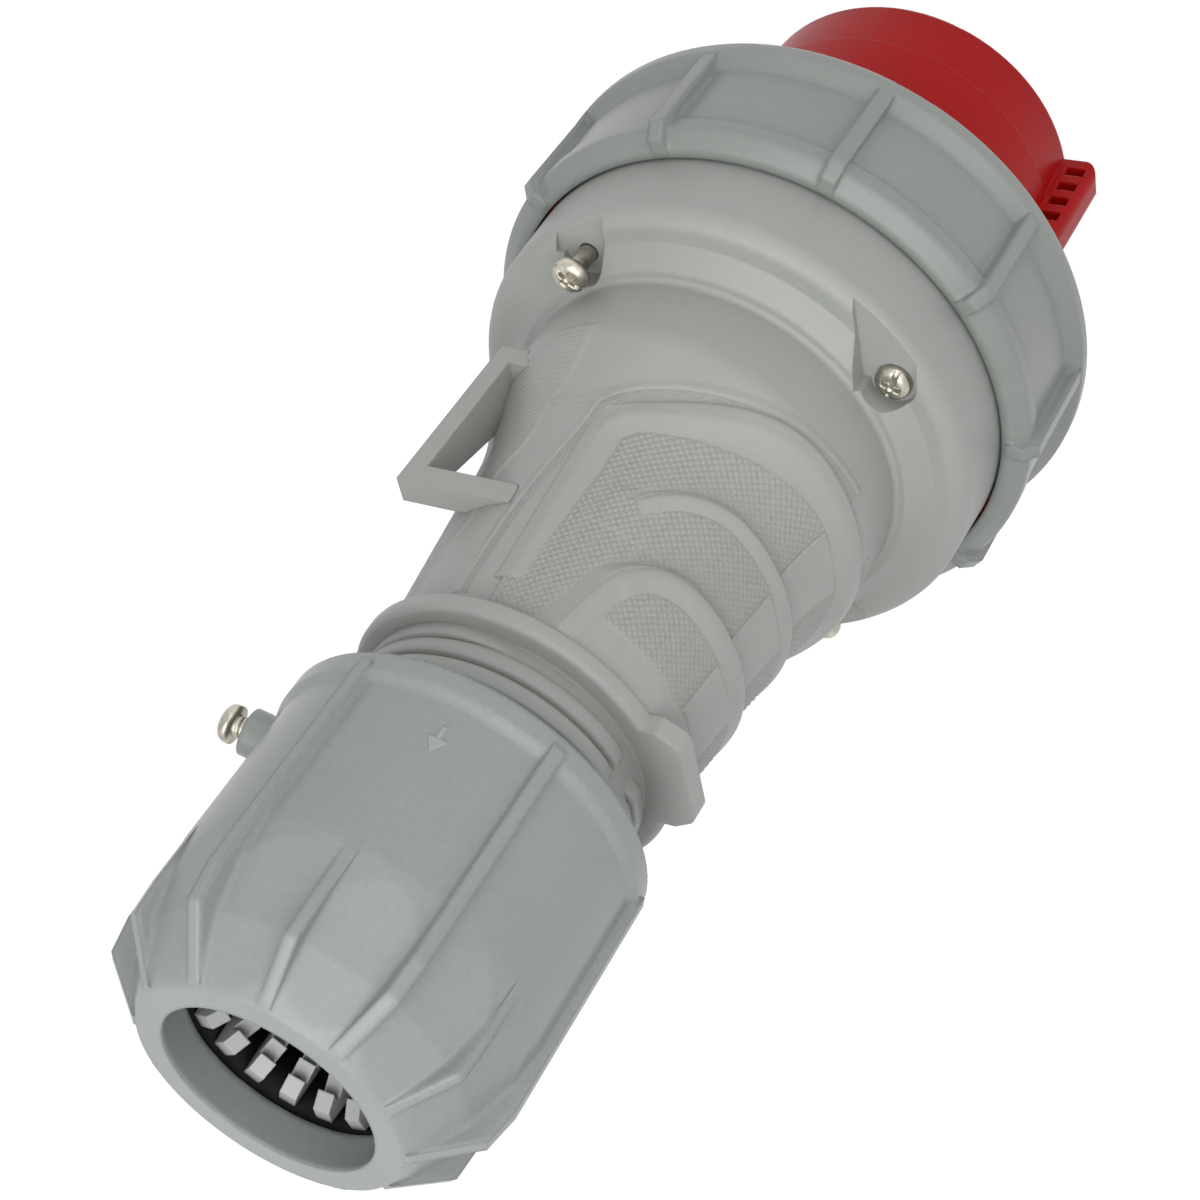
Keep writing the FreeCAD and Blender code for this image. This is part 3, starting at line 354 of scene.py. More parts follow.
def new_piece(name, points, faces, material, body, slot):
    """Mesh object in place, riding on a body; points that meet at poles and seams become one."""
    mesh = bpy.data.meshes.new(name)
    mesh.from_pydata((points * MM).tolist(), [], faces.tolist())
    joined = bmesh.new()
    joined.from_mesh(mesh)
    bmesh.ops.remove_doubles(joined, verts=joined.verts, dist=MEET)
    joined.to_mesh(mesh)
    joined.free()
    mesh.polygons.foreach_set("use_smooth", np.ones(len(mesh.polygons), bool))
    mesh.materials.append(material)
    mesh.update()
    piece = bpy.data.objects.new(name, mesh)
    bpy.context.scene.collection.objects.link(piece)
    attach(piece, body)
    return piece


def turned(angle, radius, level):
    """Points at angle (radians from the grip's middle, which faces -Y), radius and level."""
    return np.stack([radius * np.sin(angle), -radius * np.cos(angle), level], -1)


# Housing outside, as the CAD has it: profiles of (radius, level)

HANDLE_END = 177.1
SHOULDER = arced([(44.4, 98.0), (40.3, 101.2), (38.2, 101.2), (38.2, 116.2), (32.2, 130.2),
                  (27.3, HANDLE_END)], [1.0, 1.0, 10.0, 50.0])
SCALE_ONE = arced([(39.8, 116.2), (33.0, 130.2), (27.8, HANDLE_END)], [50.0])
SCALE_TWO = np.array([(33.26, 137.3), (30.48, 154.3)])
SCALE_THREE = np.array([(31.98, 154.3), (29.3, HANDLE_END)])
SCALES = {"one": SCALE_ONE, "two": SCALE_TWO, "three": SCALE_THREE}
# Surface under each scale, and the level where the scale ends
BELOW = {"one": SHOULDER, "two": SCALE_ONE, "three": SCALE_ONE}
ENDS = {"one": HANDLE_END, "two": 154.3, "three": HANDLE_END}
# Outline of each scale: level of its front, half its width and the radius of its corners
OUTLINES = {"one": (119.4, 33.4, 13.0), "two": (137.3, 28.9, 10.5), "three": (154.3, 26.6, 9.0)}
# Steps along an outline: for the raised edges and for distances
OUTLINE_STEP = 0.5
DISTANCE_STEP = 0.6


def half_width(key, level):
    """Half the width of a scale at a level, seen square on to the grip; zero before its front.

    The outline is a strip about the middle with two rounded front corners.
    """
    front, half, corner = OUTLINES[key]
    ahead = np.clip(front + corner - level, 0.0, corner)
    return np.where(level > front, half - corner + np.sqrt(corner ** 2 - ahead ** 2), 0.0)


def housing_radius(angle, level):
    """Outside radius of the housing: the highest of the shoulder and the scales there.

    A ray from the axis leaves a scale at its surface or through its side wall, whichever is nearer.
    """
    radius = radius_on(SHOULDER, level)
    sine = np.maximum(np.abs(np.sin(angle)), 1e-6)
    for key, end in ENDS.items():
        leaves = np.minimum(radius_on(SCALES[key], level), half_width(key, level) / sine)
        there = (np.abs(angle) < math.pi / 2) & (level > OUTLINES[key][0]) & (level < end)
        radius = np.where(there, np.maximum(radius, leaves), radius)
    return radius


def grip_base(angle, level):
    """Housing beside the grip: the shoulder, swelling a little over the first scale's corners."""
    aside = np.abs(angle) * SPREAD - 49.8
    above = level - 131.0
    width = 3.0
    height = 0.95
    return radius_on(SHOULDER, level) + height * np.exp(-(aside ** 2 + above ** 2) / width ** 2)


def ramp(value, width):
    """Soft step from 0 at zero to 1 at width."""
    t = np.clip(value / width, 0.0, 1.0)
    return t * t * (3.0 - 2.0 * t)


def tooth(position):
    """Triangle wave from 0 to 1 with a period of one."""
    return 1.0 - np.abs(2.0 * (position - np.floor(position)) - 1.0)


def pyramids(angle, level, pitch):
    """Pyramids from 0 to 1: the lower of two triangle waves that slant both ways round the handle."""
    arc = np.abs(angle) * SPREAD * SLANT
    return np.minimum(tooth((arc + level) / pitch), tooth((arc - level) / pitch))


def outline(key, end, step, surface):
    """Edge of a scale as rows of (arc from the grip's middle, level), side to side round its front.

    Straight sides up from the end level, two quarter circles seen square on to the grip and a
    straight front, laid on a surface and divided evenly.
    """
    front, half, corner = OUTLINES[key]
    turn = np.linspace(0.0, math.pi / 2, 40)
    side = np.linspace(end, front + corner, 80)[:-1]
    across = np.concatenate([np.full(len(side), half), half - corner + corner * np.cos(turn)])
    level = np.concatenate([side, front + corner - corner * np.sin(turn)])
    across = np.concatenate([across, -across[::-1]])
    level = np.concatenate([level, level[::-1]])
    radius = radius_on(surface, level)
    arc = np.arcsin(np.clip(across / radius, -1.0, 1.0)) * SPREAD
    along = np.concatenate([[0.0], np.cumsum(np.hypot(np.diff(arc), np.diff(level)))])
    even = np.linspace(0.0, along[-1], int(along[-1] / step))
    return np.stack([np.interp(even, along, arc), np.interp(even, along, level)], 1)


def edge_distance(key, angle, level):
    """Distance of points on the handle from a scale: positive on it, zero on its side wall."""
    sine = np.abs(np.sin(angle))
    on_front = (level > OUTLINES[key][0]) & (np.abs(angle) < math.pi / 2)
    gaps = []
    inside = []
    for surface in (SCALES[key], BELOW[key]):
        edge = outline(key, ENDS[key], DISTANCE_STEP, surface)
        gap = np.hypot((angle * SPREAD)[..., None] - edge[:, 0], level[..., None] - edge[:, 1])
        gaps.append(gap.min(-1))
        inside.append(on_front & (radius_on(surface, level) * sine < half_width(key, level)))
    return np.where(inside[0], gaps[0], np.where(inside[1], 0.0, -gaps[1]))


def averaged(rows, count):
    """Moving average of rows over an odd count of neighbours; the ends keep their direction."""
    half = count // 2
    before = 2.0 * rows[0] - rows[half:0:-1]
    after = 2.0 * rows[-1] - rows[-2:-half - 2:-1]
    longer = np.concatenate([before, rows, after])
    total = np.concatenate([np.zeros((1, rows.shape[1])), np.cumsum(longer, axis=0)])
    return (total[count:] - total[:-count]) / count


def raised_edge(name, key, end, profile, fade, material):
    """Raised edge of a scale: a closed profile carried along the scale's outline.

    Each row of the profile is the distance inside the outline, the share of the step from the
    surface below to the scale, and the height over that. The height fades out at both ends and
    goes a little under the surface there. Sharp corners of the outline are averaged out.
    """
    neighbours = 23
    foot_off = 0.6
    sunk_end = 0.2
    path = averaged(outline(key, end, OUTLINE_STEP, SCALES[key]), neighbours)
    run = np.gradient(path, axis=0)
    run = run / np.linalg.norm(run, axis=1)[:, None]
    inward = np.stack([run[:, 1], -run[:, 0]], 1)
    inset, share, height = np.array(profile).T
    arcs = path[:, :1] + inward[:, :1] * inset
    levels = path[:, 1:] + inward[:, 1:] * inset
    upper = radius_on(SCALES[key], levels)
    if key == "one":
        below = grip_base(arcs / SPREAD, levels)
    else:
        foot = path - foot_off * inward
        below = housing_radius(foot[:, 0] / SPREAD, foot[:, 1])[:, None]
    place = np.arange(len(path)) * OUTLINE_STEP
    grow = ramp(np.minimum(place, place[-1] - place), fade)[:, None]
    radius = below * (1.0 - share) + np.maximum(upper, below) * share
    radius = radius + np.where(height > 0.0, height * grow - sunk_end * (1.0 - grow), height)
    points = capped(turned(arcs / SPREAD, radius, levels))
    faces = grid_faces(*points.shape[:2], wrap_columns=True)
    return new_piece(name, points.reshape(-1, 3), faces, material, "housing", "housing_grey")


def capped(rows):
    """Rows of a tube with one more at each end, drawn together to a point."""
    ends = [np.repeat(rows[k].mean(0, keepdims=True)[None], rows.shape[1], 1) for k in (0, -1)]
    return np.concatenate([ends[0], rows, ends[1]])


def relief(name, angles, levels, height, material, base=housing_radius, ride=("housing", "housing_grey")):
    """Sheet that follows a surface at the given height over it, kept where it shows.

    height and base are functions of angle and level in millimetres.
    """
    angle, level = np.meshgrid(angles, levels)
    raised = height(angle, level)
    radius = base(angle, level) + np.maximum(raised, -SUNK)
    faces = grid_faces(len(levels), len(angles))
    shown = (raised.ravel()[faces] > -HIDDEN).any(1)
    points = turned(angle, radius, level).reshape(-1, 3)
    used, places = np.unique(faces[shown], return_inverse=True)
    piece = new_piece(name, points[used], places.reshape(-1, 4), material, *ride)
    wall = piece.modifiers.new("wall", "SOLIDIFY")
    wall.thickness = SHEET * MM
    wall.offset = -1.0
    return piece


def sweep(start, end, step):
    """Even values from start to end, about a step apart."""
    return np.linspace(start, end, max(2, int(round(abs(end - start) / step)) + 1))


# Lines on the handle: degrees from the grip's middle, or from the back's, against levels

FIELD_FRONT = ((11.5, 15.2, 27.7, 42.0, 60.0, 76.4, 80.6, 82.5, 87.0),
               (123.9, 124.0, 125.2, 127.3, 130.7, 134.1, 137.0, 157.0, 171.0))
STRIP_FRONT = ((11.6, 17.5, 27.5, 39.2, 51.0, 62.0, 72.6, 83.4, 88.6, 93.5),
               (114.2, 114.7, 115.8, 116.9, 119.1, 121.1, 123.2, 125.6, 127.3, 129.9))
BACK_FRONT = ((41.4, 52.0, 63.0, 73.5), (119.2, 117.3, 115.1, 115.1))

# The same the other way round: levels against degrees

FIELD_SIDE = ((124.0, 134.0, 136.0, 145.0, 157.0, 169.6, 171.2),
              (62.0, 77.0, 80.4, 80.2, 82.6, 86.2, 90.5))
STRIP_SIDE = ((129.9, 135.2, 140.9, 146.8, 152.8, 158.9, 170.0),
              (93.5, 96.2, 98.5, 100.5, 102.4, 104.0, 104.9))
BACK_SIDE = ((115.1, 122.9, 130.1, 138.6, 145.4, 156.0, 166.5, 171.0),
             (73.5, 71.2, 65.6, 63.8, 57.8, 57.4, 49.1, 46.0))

# Rear ends of the knurled fields, the third scale's patch, the strip and the ribbed back
FIELD_END = 176.4
PATCH_END = 171.0
STRIP_END = 174.5
BACK_END = 170.6

# Profiles of the raised edges: distance inside the outline, share of the step, height over that
STEEP_WALL = [(-0.42, 0.0, -0.3), (-0.3, 0.15, 0.0), (-0.16, 0.65, 0.0), (0.0, 1.0, 0.06)]
STEEP_FOOT = [(-0.42, 0.0, -0.7)]
EDGE_ONE = [
    (-2.3, 0.0, -0.3), (-2.2, 0.0, 0.0), (-1.9, 0.35, 0.0), (-1.5, 0.75, 0.0), (-1.0, 1.0, 0.0),
    (-0.4, 1.0, 0.12), (0.3, 1.0, 0.34), (1.0, 1.0, 0.56), (1.4, 1.0, 0.60), (1.8, 1.0, 0.57),
    (2.6, 1.0, 0.40), (3.4, 1.0, 0.22), (4.2, 1.0, 0.08), (4.9, 1.0, 0.0), (5.4, 1.0, -0.15),
    (5.4, 1.0, -0.6), (-2.3, 0.0, -0.9),
]
EDGE_TWO = STEEP_WALL + [
    (0.35, 1.0, 0.38), (0.7, 1.0, 0.54), (1.1, 1.0, 0.56), (1.8, 1.0, 0.42), (2.5, 1.0, 0.20),
    (3.1, 1.0, 0.04), (3.5, 1.0, -0.15), (3.5, 1.0, -0.6),
] + STEEP_FOOT
EDGE_THREE = STEEP_WALL + [
    (0.35, 1.0, 0.34), (0.8, 1.0, 0.52), (1.3, 1.0, 0.56), (2.2, 1.0, 0.54), (2.9, 1.0, 0.42),
    (3.7, 1.0, 0.20), (4.4, 1.0, 0.05), (4.9, 1.0, -0.12), (4.9, 1.0, -0.6),
] + STEEP_FOOT


# Operators


class PLUG_OT_stage(bpy.types.Operator):
    """Camera, floor, lamps and sky"""

    bl_idname = "plug.stage"
    bl_label = "Stage"

    def execute(self, context):
        stage = context.scene.plug_stage
        context.scene.view_settings.view_transform = "Standard"
        right, down, ahead = self.camera(context, stage.lens)
        far = 0.8
        self.lamp(context, "top", Vector((0.3, -0.2, 1.0)), far, (0.8, 0.8), stage.top_power)
        by_camera = right * 0.3 - down * 0.15 - ahead * 0.94
        self.lamp(context, "front", by_camera, far, (0.7, 0.7), stage.front_power)
        above_camera = -right * 0.1 - down * 0.78 - ahead * 0.6
        self.lamp(context, "strip", above_camera, far, (0.5, 0.12), stage.strip_power)
        self.floor(context)
        self.sky(context, stage.sky)
        return {"FINISHED"}

    def camera(self, context, lens):
        """Camera with the photo's view; gives its directions right, down and ahead in the frame.

        The plug's axes are worked out as the camera sees them, in its own right, down and ahead.
        """
        to_nose = Vector((0.4528, -0.6612, 0.5981)).normalized()
        tilt = math.radians(36.64)
        up = Vector((0.0, -math.cos(tilt), -math.sin(tilt)))
        one = (up - to_nose * up.dot(to_nose)).normalized()
        two = to_nose.cross(one)
        turn = math.radians(-6.0)
        x_axis = one * math.cos(turn) + two * math.sin(turn)
        y_axis = one * math.sin(turn) - two * math.cos(turn)
        axes = Matrix((x_axis, y_axis, -to_nose))
        nose_seen = Vector((66.2, -96.0, 522.2)) * MM
        spot = -(axes @ nose_seen)
        right, down, ahead = axes.transposed()
        data = bpy.data.cameras.new("camera")
        data.sensor_width = 36.0
        data.lens = lens
        data.clip_start = 0.02
        data.clip_end = 20.0
        seat = bpy.data.objects.new("camera", data)
        context.scene.collection.objects.link(seat)
        turned_to = Matrix((right, -down, -ahead)).transposed().to_4x4()
        seat.matrix_world = Matrix.Translation(spot) @ turned_to
        context.scene.camera = seat
        return right, down, ahead

    def lamp(self, context, name, direction, far, size, watts):
        """Area lamp that looks at the middle of the plug from a direction."""
        middle = Vector((0.0, 0.0, 0.13))
        data = bpy.data.lights.new(name, "AREA")
        data.shape = "RECTANGLE"
        data.size = size[0]
        data.size_y = size[1]
        data.energy = watts
        holder = bpy.data.objects.new(name, data)
        context.scene.collection.objects.link(holder)
        holder.location = middle + direction.normalized() * far
        holder.rotation_mode = "QUATERNION"
        holder.rotation_quaternion = direction.to_track_quat("Z", "Y")

    def floor(self, context):
        """Wide plane under the nose; the camera and reflections see it as white as the sky."""
        reach = 3.0
        glow_strength = 1.19
        glow_share = 0.8
        mesh = bpy.data.meshes.new("floor")
        mesh.from_pydata([(-reach, -reach, 0), (reach, -reach, 0), (reach, reach, 0), (-reach, reach, 0)],
                         [], [(0, 1, 2, 3)])
        plane = bpy.data.objects.new("floor", mesh)
        context.scene.collection.objects.link(plane)
        made = Finish("floor_white")
        made.set(Base_Color=(0.80, 0.80, 0.80, 1.0), Roughness=0.9, Specular_IOR_Level=0.1)
        path = made.tree.nodes.new("ShaderNodeLightPath")
        seen = Value(made, path.outputs["Is Camera Ray"])
        seen = seen.math("MAXIMUM", Value(made, path.outputs["Is Glossy Ray"]))
        seen = seen.math("MAXIMUM", Value(made, path.outputs["Is Transmission Ray"]))
        glow = made.make("Emission", None, {"Color": WHITE, "Strength": glow_strength})
        plain = Value(made, made.shader.outputs["BSDF"])
        blend = made.make("MixShader", None, [seen * glow_share, plain, glow])
        made.tree.links.new(blend.socket, made.out.inputs["Surface"])
        mesh.materials.append(made.material)

    def sky(self, context, strength):
        """Even light all round; seen directly or in reflections it is white."""
        world = bpy.data.worlds.new("sky")
        context.scene.world = world
        world.use_nodes = True
        tree = world.node_tree
        tree.nodes.clear()
        out = tree.nodes.new("ShaderNodeOutputWorld")
        even = tree.nodes.new("ShaderNodeBackground")
        even.inputs["Color"].default_value = WHITE
        even.inputs["Strength"].default_value = strength
        white = tree.nodes.new("ShaderNodeBackground")
        white.inputs["Color"].default_value = WHITE
        path = tree.nodes.new("ShaderNodeLightPath")
        seen = path.outputs["Is Camera Ray"]
        for ray in ("Is Glossy Ray", "Is Transmission Ray"):
            either = tree.nodes.new("ShaderNodeMath")
            either.operation = "MAXIMUM"
            tree.links.new(seen, either.inputs[0])
            tree.links.new(path.outputs[ray], either.inputs[1])
            seen = either.outputs[0]
        blend = tree.nodes.new("ShaderNodeMixShader")
        tree.links.new(seen, blend.inputs[0])
        tree.links.new(even.outputs[0], blend.inputs[1])
        tree.links.new(white.outputs[0], blend.inputs[2])
        tree.links.new(blend.outputs[0], out.inputs["Surface"])


class PLUG_OT_housing(bpy.types.Operator):
    """Matte housing with its knurled grip, dotted border and finely ribbed back"""

    bl_idname = "plug.housing"
    bl_label = "Housing"

    def execute(self, context):
        colour = tuple(finish_of(context).housing)
        sizes = sizes_of(context)
        plastic = moulded("housing_plastic", colour, rough=0.44, grain=0.42 * MM, depth=0.04 * MM,
                          edge=0.55 * MM)
        dress(plastic, "rear_housing", "housing_loop")
        # The knurled and dotted plastics have painted shade in their grooves
        knurled = moulded("knurl_plastic", colour, rough=0.48, grain=0.42 * MM, depth=0.03 * MM,
                          edge=0.3 * MM, knurl=sizes.knurl_pitch)
        dotted = moulded("dotted_plastic", colour, rough=0.48, grain=0.42 * MM, depth=0.03 * MM,
                         edge=0.3 * MM, knurl=sizes.dot_pitch)
        step = sizes.grid_step / MM
        strip_step = 0.26
        field_levels = sweep(123.0, 176.6, step)
        strip_levels = sweep(112.5, 175.0, strip_step)
        for side, name in ((-1.0, "left"), (1.0, "right")):
            field = np.sort(np.radians(side * sweep(11.0, 91.0, step / DEGREE)))
            relief("grip_knurl_" + name, field, field_levels, lambda a, z: self.knurl(a, z, sizes), knurled)
            strip = np.sort(np.radians(side * sweep(11.4, 112.0, strip_step / 0.6)))
            relief("grip_border_" + name, strip, strip_levels, self.border, plastic, grip_base)
            relief("grip_dots_" + name, strip, strip_levels, lambda a, z: self.dots(a, z, sizes), dotted,
                   grip_base)
        relief("grip_band", np.radians(sweep(-12.4, 12.4, step / DEGREE)), field_levels, self.band, plastic)
        relief("grip_back", np.radians(sweep(100.0, 260.0, 1.0)), sweep(111.0, 174.0, 0.23),
               lambda a, z: self.back(a, z, sizes), plastic)
        raised_edge("grip_edge_one", "one", 170.5, EDGE_ONE, 0.8, plastic)
        raised_edge("grip_edge_two", "two", 147.8, EDGE_TWO, 1.6, plastic)
        raised_edge("grip_edge_three", "three", 177.4, EDGE_THREE, 0.8, plastic)
        return {"FINISHED"}

    def fields(self, angle, level):
        """Distance inside the knurled fields, distance from the band in the middle, and slope.

        Beside the second scale, past the end of its raised edge, the field slopes up to it.
        """
        gap = 0.1
        ref = np.degrees(np.abs(angle))
        front = np.interp(ref, *FIELD_FRONT)
        inside = (np.interp(level, *FIELD_SIDE) - ref) * DEGREE
        corner = 82.5
        front = np.where(ref > corner, np.minimum(front, level - inside), front)
        room = np.minimum(level - front, inside)
        room = np.minimum(room, FIELD_END - level)

        two = edge_distance("two", angle, level)
        ridge_end = 145.6
        ridge_width = 3.4
        ridge = 1.0 - ramp(level - ridge_end, 2.2)
        beside = np.where(two > 0.0, two - ridge_width * ridge, -gap - two)
        room = np.where((ridge > 0.02) & (level < ENDS["two"]), np.minimum(room, beside), room)

        slope_start = 144.0
        slope_width = 4.5
        slope_side = 84.0
        low = radius_on(SCALE_ONE, level)
        step = np.maximum(radius_on(SCALE_TWO, level) - low, 0.0) * ramp(level - slope_start - 0.5, 3.0)
        slope = low + step * ramp(two + slope_width, slope_width) - housing_radius(angle, level)
        sloping = (two <= 0.0) & (level > slope_start) & (level < ENDS["two"]) & (ref < slope_side)
        slope = np.where(sloping, np.maximum(slope, 0.0), 0.0)

        three = edge_distance("three", angle, level)
        edge_width = EDGE_THREE[-2][0]
        patch = np.minimum(three - edge_width, PATCH_END - level)
        room = np.where(three > 0.0, patch, np.minimum(room, -gap - three))
        half_band = np.where(three > 0.0, 12.0, 11.6)
        return room, (ref - half_band) * DEGREE, slope

    def band(self, angle, level):
        """Smooth band between the fields, rising to a crisp edge beside each of them."""
        height = 0.42
        width = 4.0
        room, middle, _ = self.fields(angle, level)
        rise = height * ramp(middle + width, width) * ramp(room, 0.9) + SKIN
        return np.where((middle < 0.0) & (room > 0.0), rise, -SUNK)

    def knurl(self, angle, level, sizes):
        """Rows of small pyramids with cut tips inside the fields."""
        room, middle, slope = self.fields(angle, level)
        room = np.minimum(room, middle)
        cut = np.minimum(pyramids(angle, level, sizes.knurl_pitch / MM) * 1.15, 0.9)
        peak = sizes.knurl_height / MM * cut * ramp(room, 0.5)
        return slope + np.where(room > 0.0, peak + KNURL_SKIN, -SUNK * ramp(-room, 0.9))

    def strip(self, angle, level):
        """Distance inside the outer line of the strip round the first scale."""
        ref = np.degrees(np.abs(angle))
        square_on = np.interp(ref, (80.0, 93.0), (0.92, 0.6))
        front = (level - np.interp(ref, *STRIP_FRONT)) * square_on
        side = (np.interp(level, *STRIP_SIDE) - ref) * DEGREE
        return np.where(level < STRIP_SIDE[0][0], front, side)

    def strip_ends(self, angle, level):
        """Distance inside the ends of the strip, beside the grip's middle and under the collar."""
        front_degree = 0.62
        start = 7.3
        return np.minimum(np.degrees(np.abs(angle)) * front_degree - start, STRIP_END - level)

    def border(self, angle, level):
        """Low bead along the outer line of the strip, steeper towards the strip."""
        height = 0.3
        outer = self.strip(angle, level)
        room = self.strip_ends(angle, level)
        bead = height * np.where(outer < 0.0, ramp(outer + 1.4, 1.4), 1.0 - ramp(outer, 0.4))
        beyond = np.maximum(-room, np.abs(outer + 0.5) - 0.9)
        return np.where(room > 0.0, bead, 0.0) - SUNK * ramp(beyond, 0.9)

    def dots(self, angle, level, sizes):
        """Small pyramids in the strip between the outer line and the first scale."""
        height = 0.34
        width = 2.9
        under_edge = 3.0
        outer = self.strip(angle, level)
        room = np.minimum(np.minimum(outer - 0.3, width - outer), self.strip_ends(angle, level))
        room = np.minimum(room, under_edge - edge_distance("one", angle, level))
        peak = height * pyramids(angle, level, sizes.dot_pitch / MM)
        return np.where(room > 0.0, peak * ramp(room, 0.3) + KNURL_SKIN, -SUNK * ramp(-room, 0.5))

    def back(self, angle, level, sizes):
        """Fine ribs across the back of the handle, inside a low bead."""
        rib_height = 0.26
        bead_height = 0.28
        back_degree = 0.58
        rim = 1.4
        off = np.abs(np.degrees(angle) - 180.0)
        room = (np.interp(level, *BACK_SIDE) - off) * back_degree
        room = np.minimum(room, level - np.interp(off, *BACK_FRONT))
        room = np.minimum(room, BACK_END - level)
        rib = rib_height * tooth(level / (sizes.rib_pitch / MM) + 0.12 * np.sin(off * 0.9))
        bead = bead_height * np.where(room < 0.0, ramp(room + 1.6, 1.6), 1.0 - ramp(room, 0.45))
        ribbed = np.maximum(rib * ramp(room - 0.5, 0.4), bead) + SKIN
        return np.where(room > -rim, ribbed, -SUNK * ramp(-rim - room, 0.9))


class PLUG_OT_neck_thread(bpy.types.Operator):
    """Round thread on the neck under the gland nut"""

    bl_idname = "plug.neck_thread"
    bl_label = "Neck thread"

    def execute(self, context):
        sizes = sizes_of(context)
        pitch = sizes.thread_pitch / MM
        crest = sizes.thread_crest / MM
        root = 25.7
        count = 8
        start = 181.9
        run_out = 0.12
        # Share of the thread's height, and level about its middle
        shape = np.array([(0.0, -1.75), (0.35, -1.66), (0.85, -1.5), (1.0, -1.2), (1.0, 1.2),
                          (0.85, 1.5), (0.35, 1.66), (0.0, 1.75)])
        turns = np.linspace(0.0, count, count * 120 + 1)
        rise = ramp(turns, run_out) * ramp(turns[-1] - turns, run_out)
        # The thread is nearly gone along one narrow flat
        flat = np.abs(np.mod(turns - 0.36, 1.0) - 0.5)
        rise = rise * (0.12 + 0.88 * ramp(flat - 0.012, 0.014))
        angle = (turns * 2.0 * math.pi)[:, None] + math.radians(60.0)
        middle = start + turns[:, None] * pitch
        radius = root + (crest - root) * shape[None, :, 0] * rise[:, None]
        points = turned(np.broadcast_to(angle, radius.shape), radius, middle + shape[None, :, 1])
        back = turned(angle, np.full(angle.shape, root - SUNK), middle)
        ring = capped(np.concatenate([points, back], 1))
        faces = grid_faces(*ring.shape[:2], wrap_columns=True)[:, ::-1]
        material = bpy.data.materials["housing_plastic"]
        new_piece("neck_thread", ring.reshape(-1, 3), faces, material, "housing", "housing_grey")
        return {"FINISHED"}


class PLUG_OT_coupling_ring(bpy.types.Operator):
    """Satin ring that locks the plug to the socket"""

    bl_idname = "plug.coupling_ring"
    bl_label = "Coupling ring"

    def execute(self, context):
        satin = moulded("ring_plastic", tuple(finish_of(context).ring), rough=0.34, grain=0.9 * MM,
                        depth=0.02 * MM, edge=1.6 * MM)
        dress(satin, "coupling_ring")
        return {"FINISHED"}


class PLUG_OT_nose(bpy.types.Operator):
    """Red nose with the gaskets and the plate behind it"""

    bl_idname = "plug.nose"
    bl_label = "Nose"

    def execute(self, context):
        finish = finish_of(context)
        red = moulded("nose_plastic", tuple(finish.nose), rough=0.34, grain=0.8 * MM, depth=0.02 * MM,
                      edge=0.6 * MM, shine=0.1)
        dress(red, "contact_carrier")
        dress(rubber("gasket_rubber", tuple(finish.rubber)), "face_gasket", "housing_gasket")
        black = moulded("insert_plastic", tuple(finish.insert), rough=0.45, grain=0.6 * MM,
                        depth=0.02 * MM, edge=0.5 * MM)
        dress(black, "pin_retainer")
        return {"FINISHED"}


class PLUG_OT_contacts(bpy.types.Operator):
    """Contact pins, their terminal screws and the retainer's screws"""

    bl_idname = "plug.contacts"
    bl_label = "Contacts"

    def execute(self, context):
        finish = finish_of(context)
        brass = metal("contact_brass", tuple(finish.brass), rough=0.22, dull=0.80)
        dress(brass, "pin_earth", "pin_l1", "pin_l2", "pin_l3", "pin_neutral", "pin_pilot")
        steel = metal("terminal_steel", tuple(finish.steel), rough=0.28, dull=0.75)
        dress(steel, "terminal_screws", "retainer_screws")
        return {"FINISHED"}


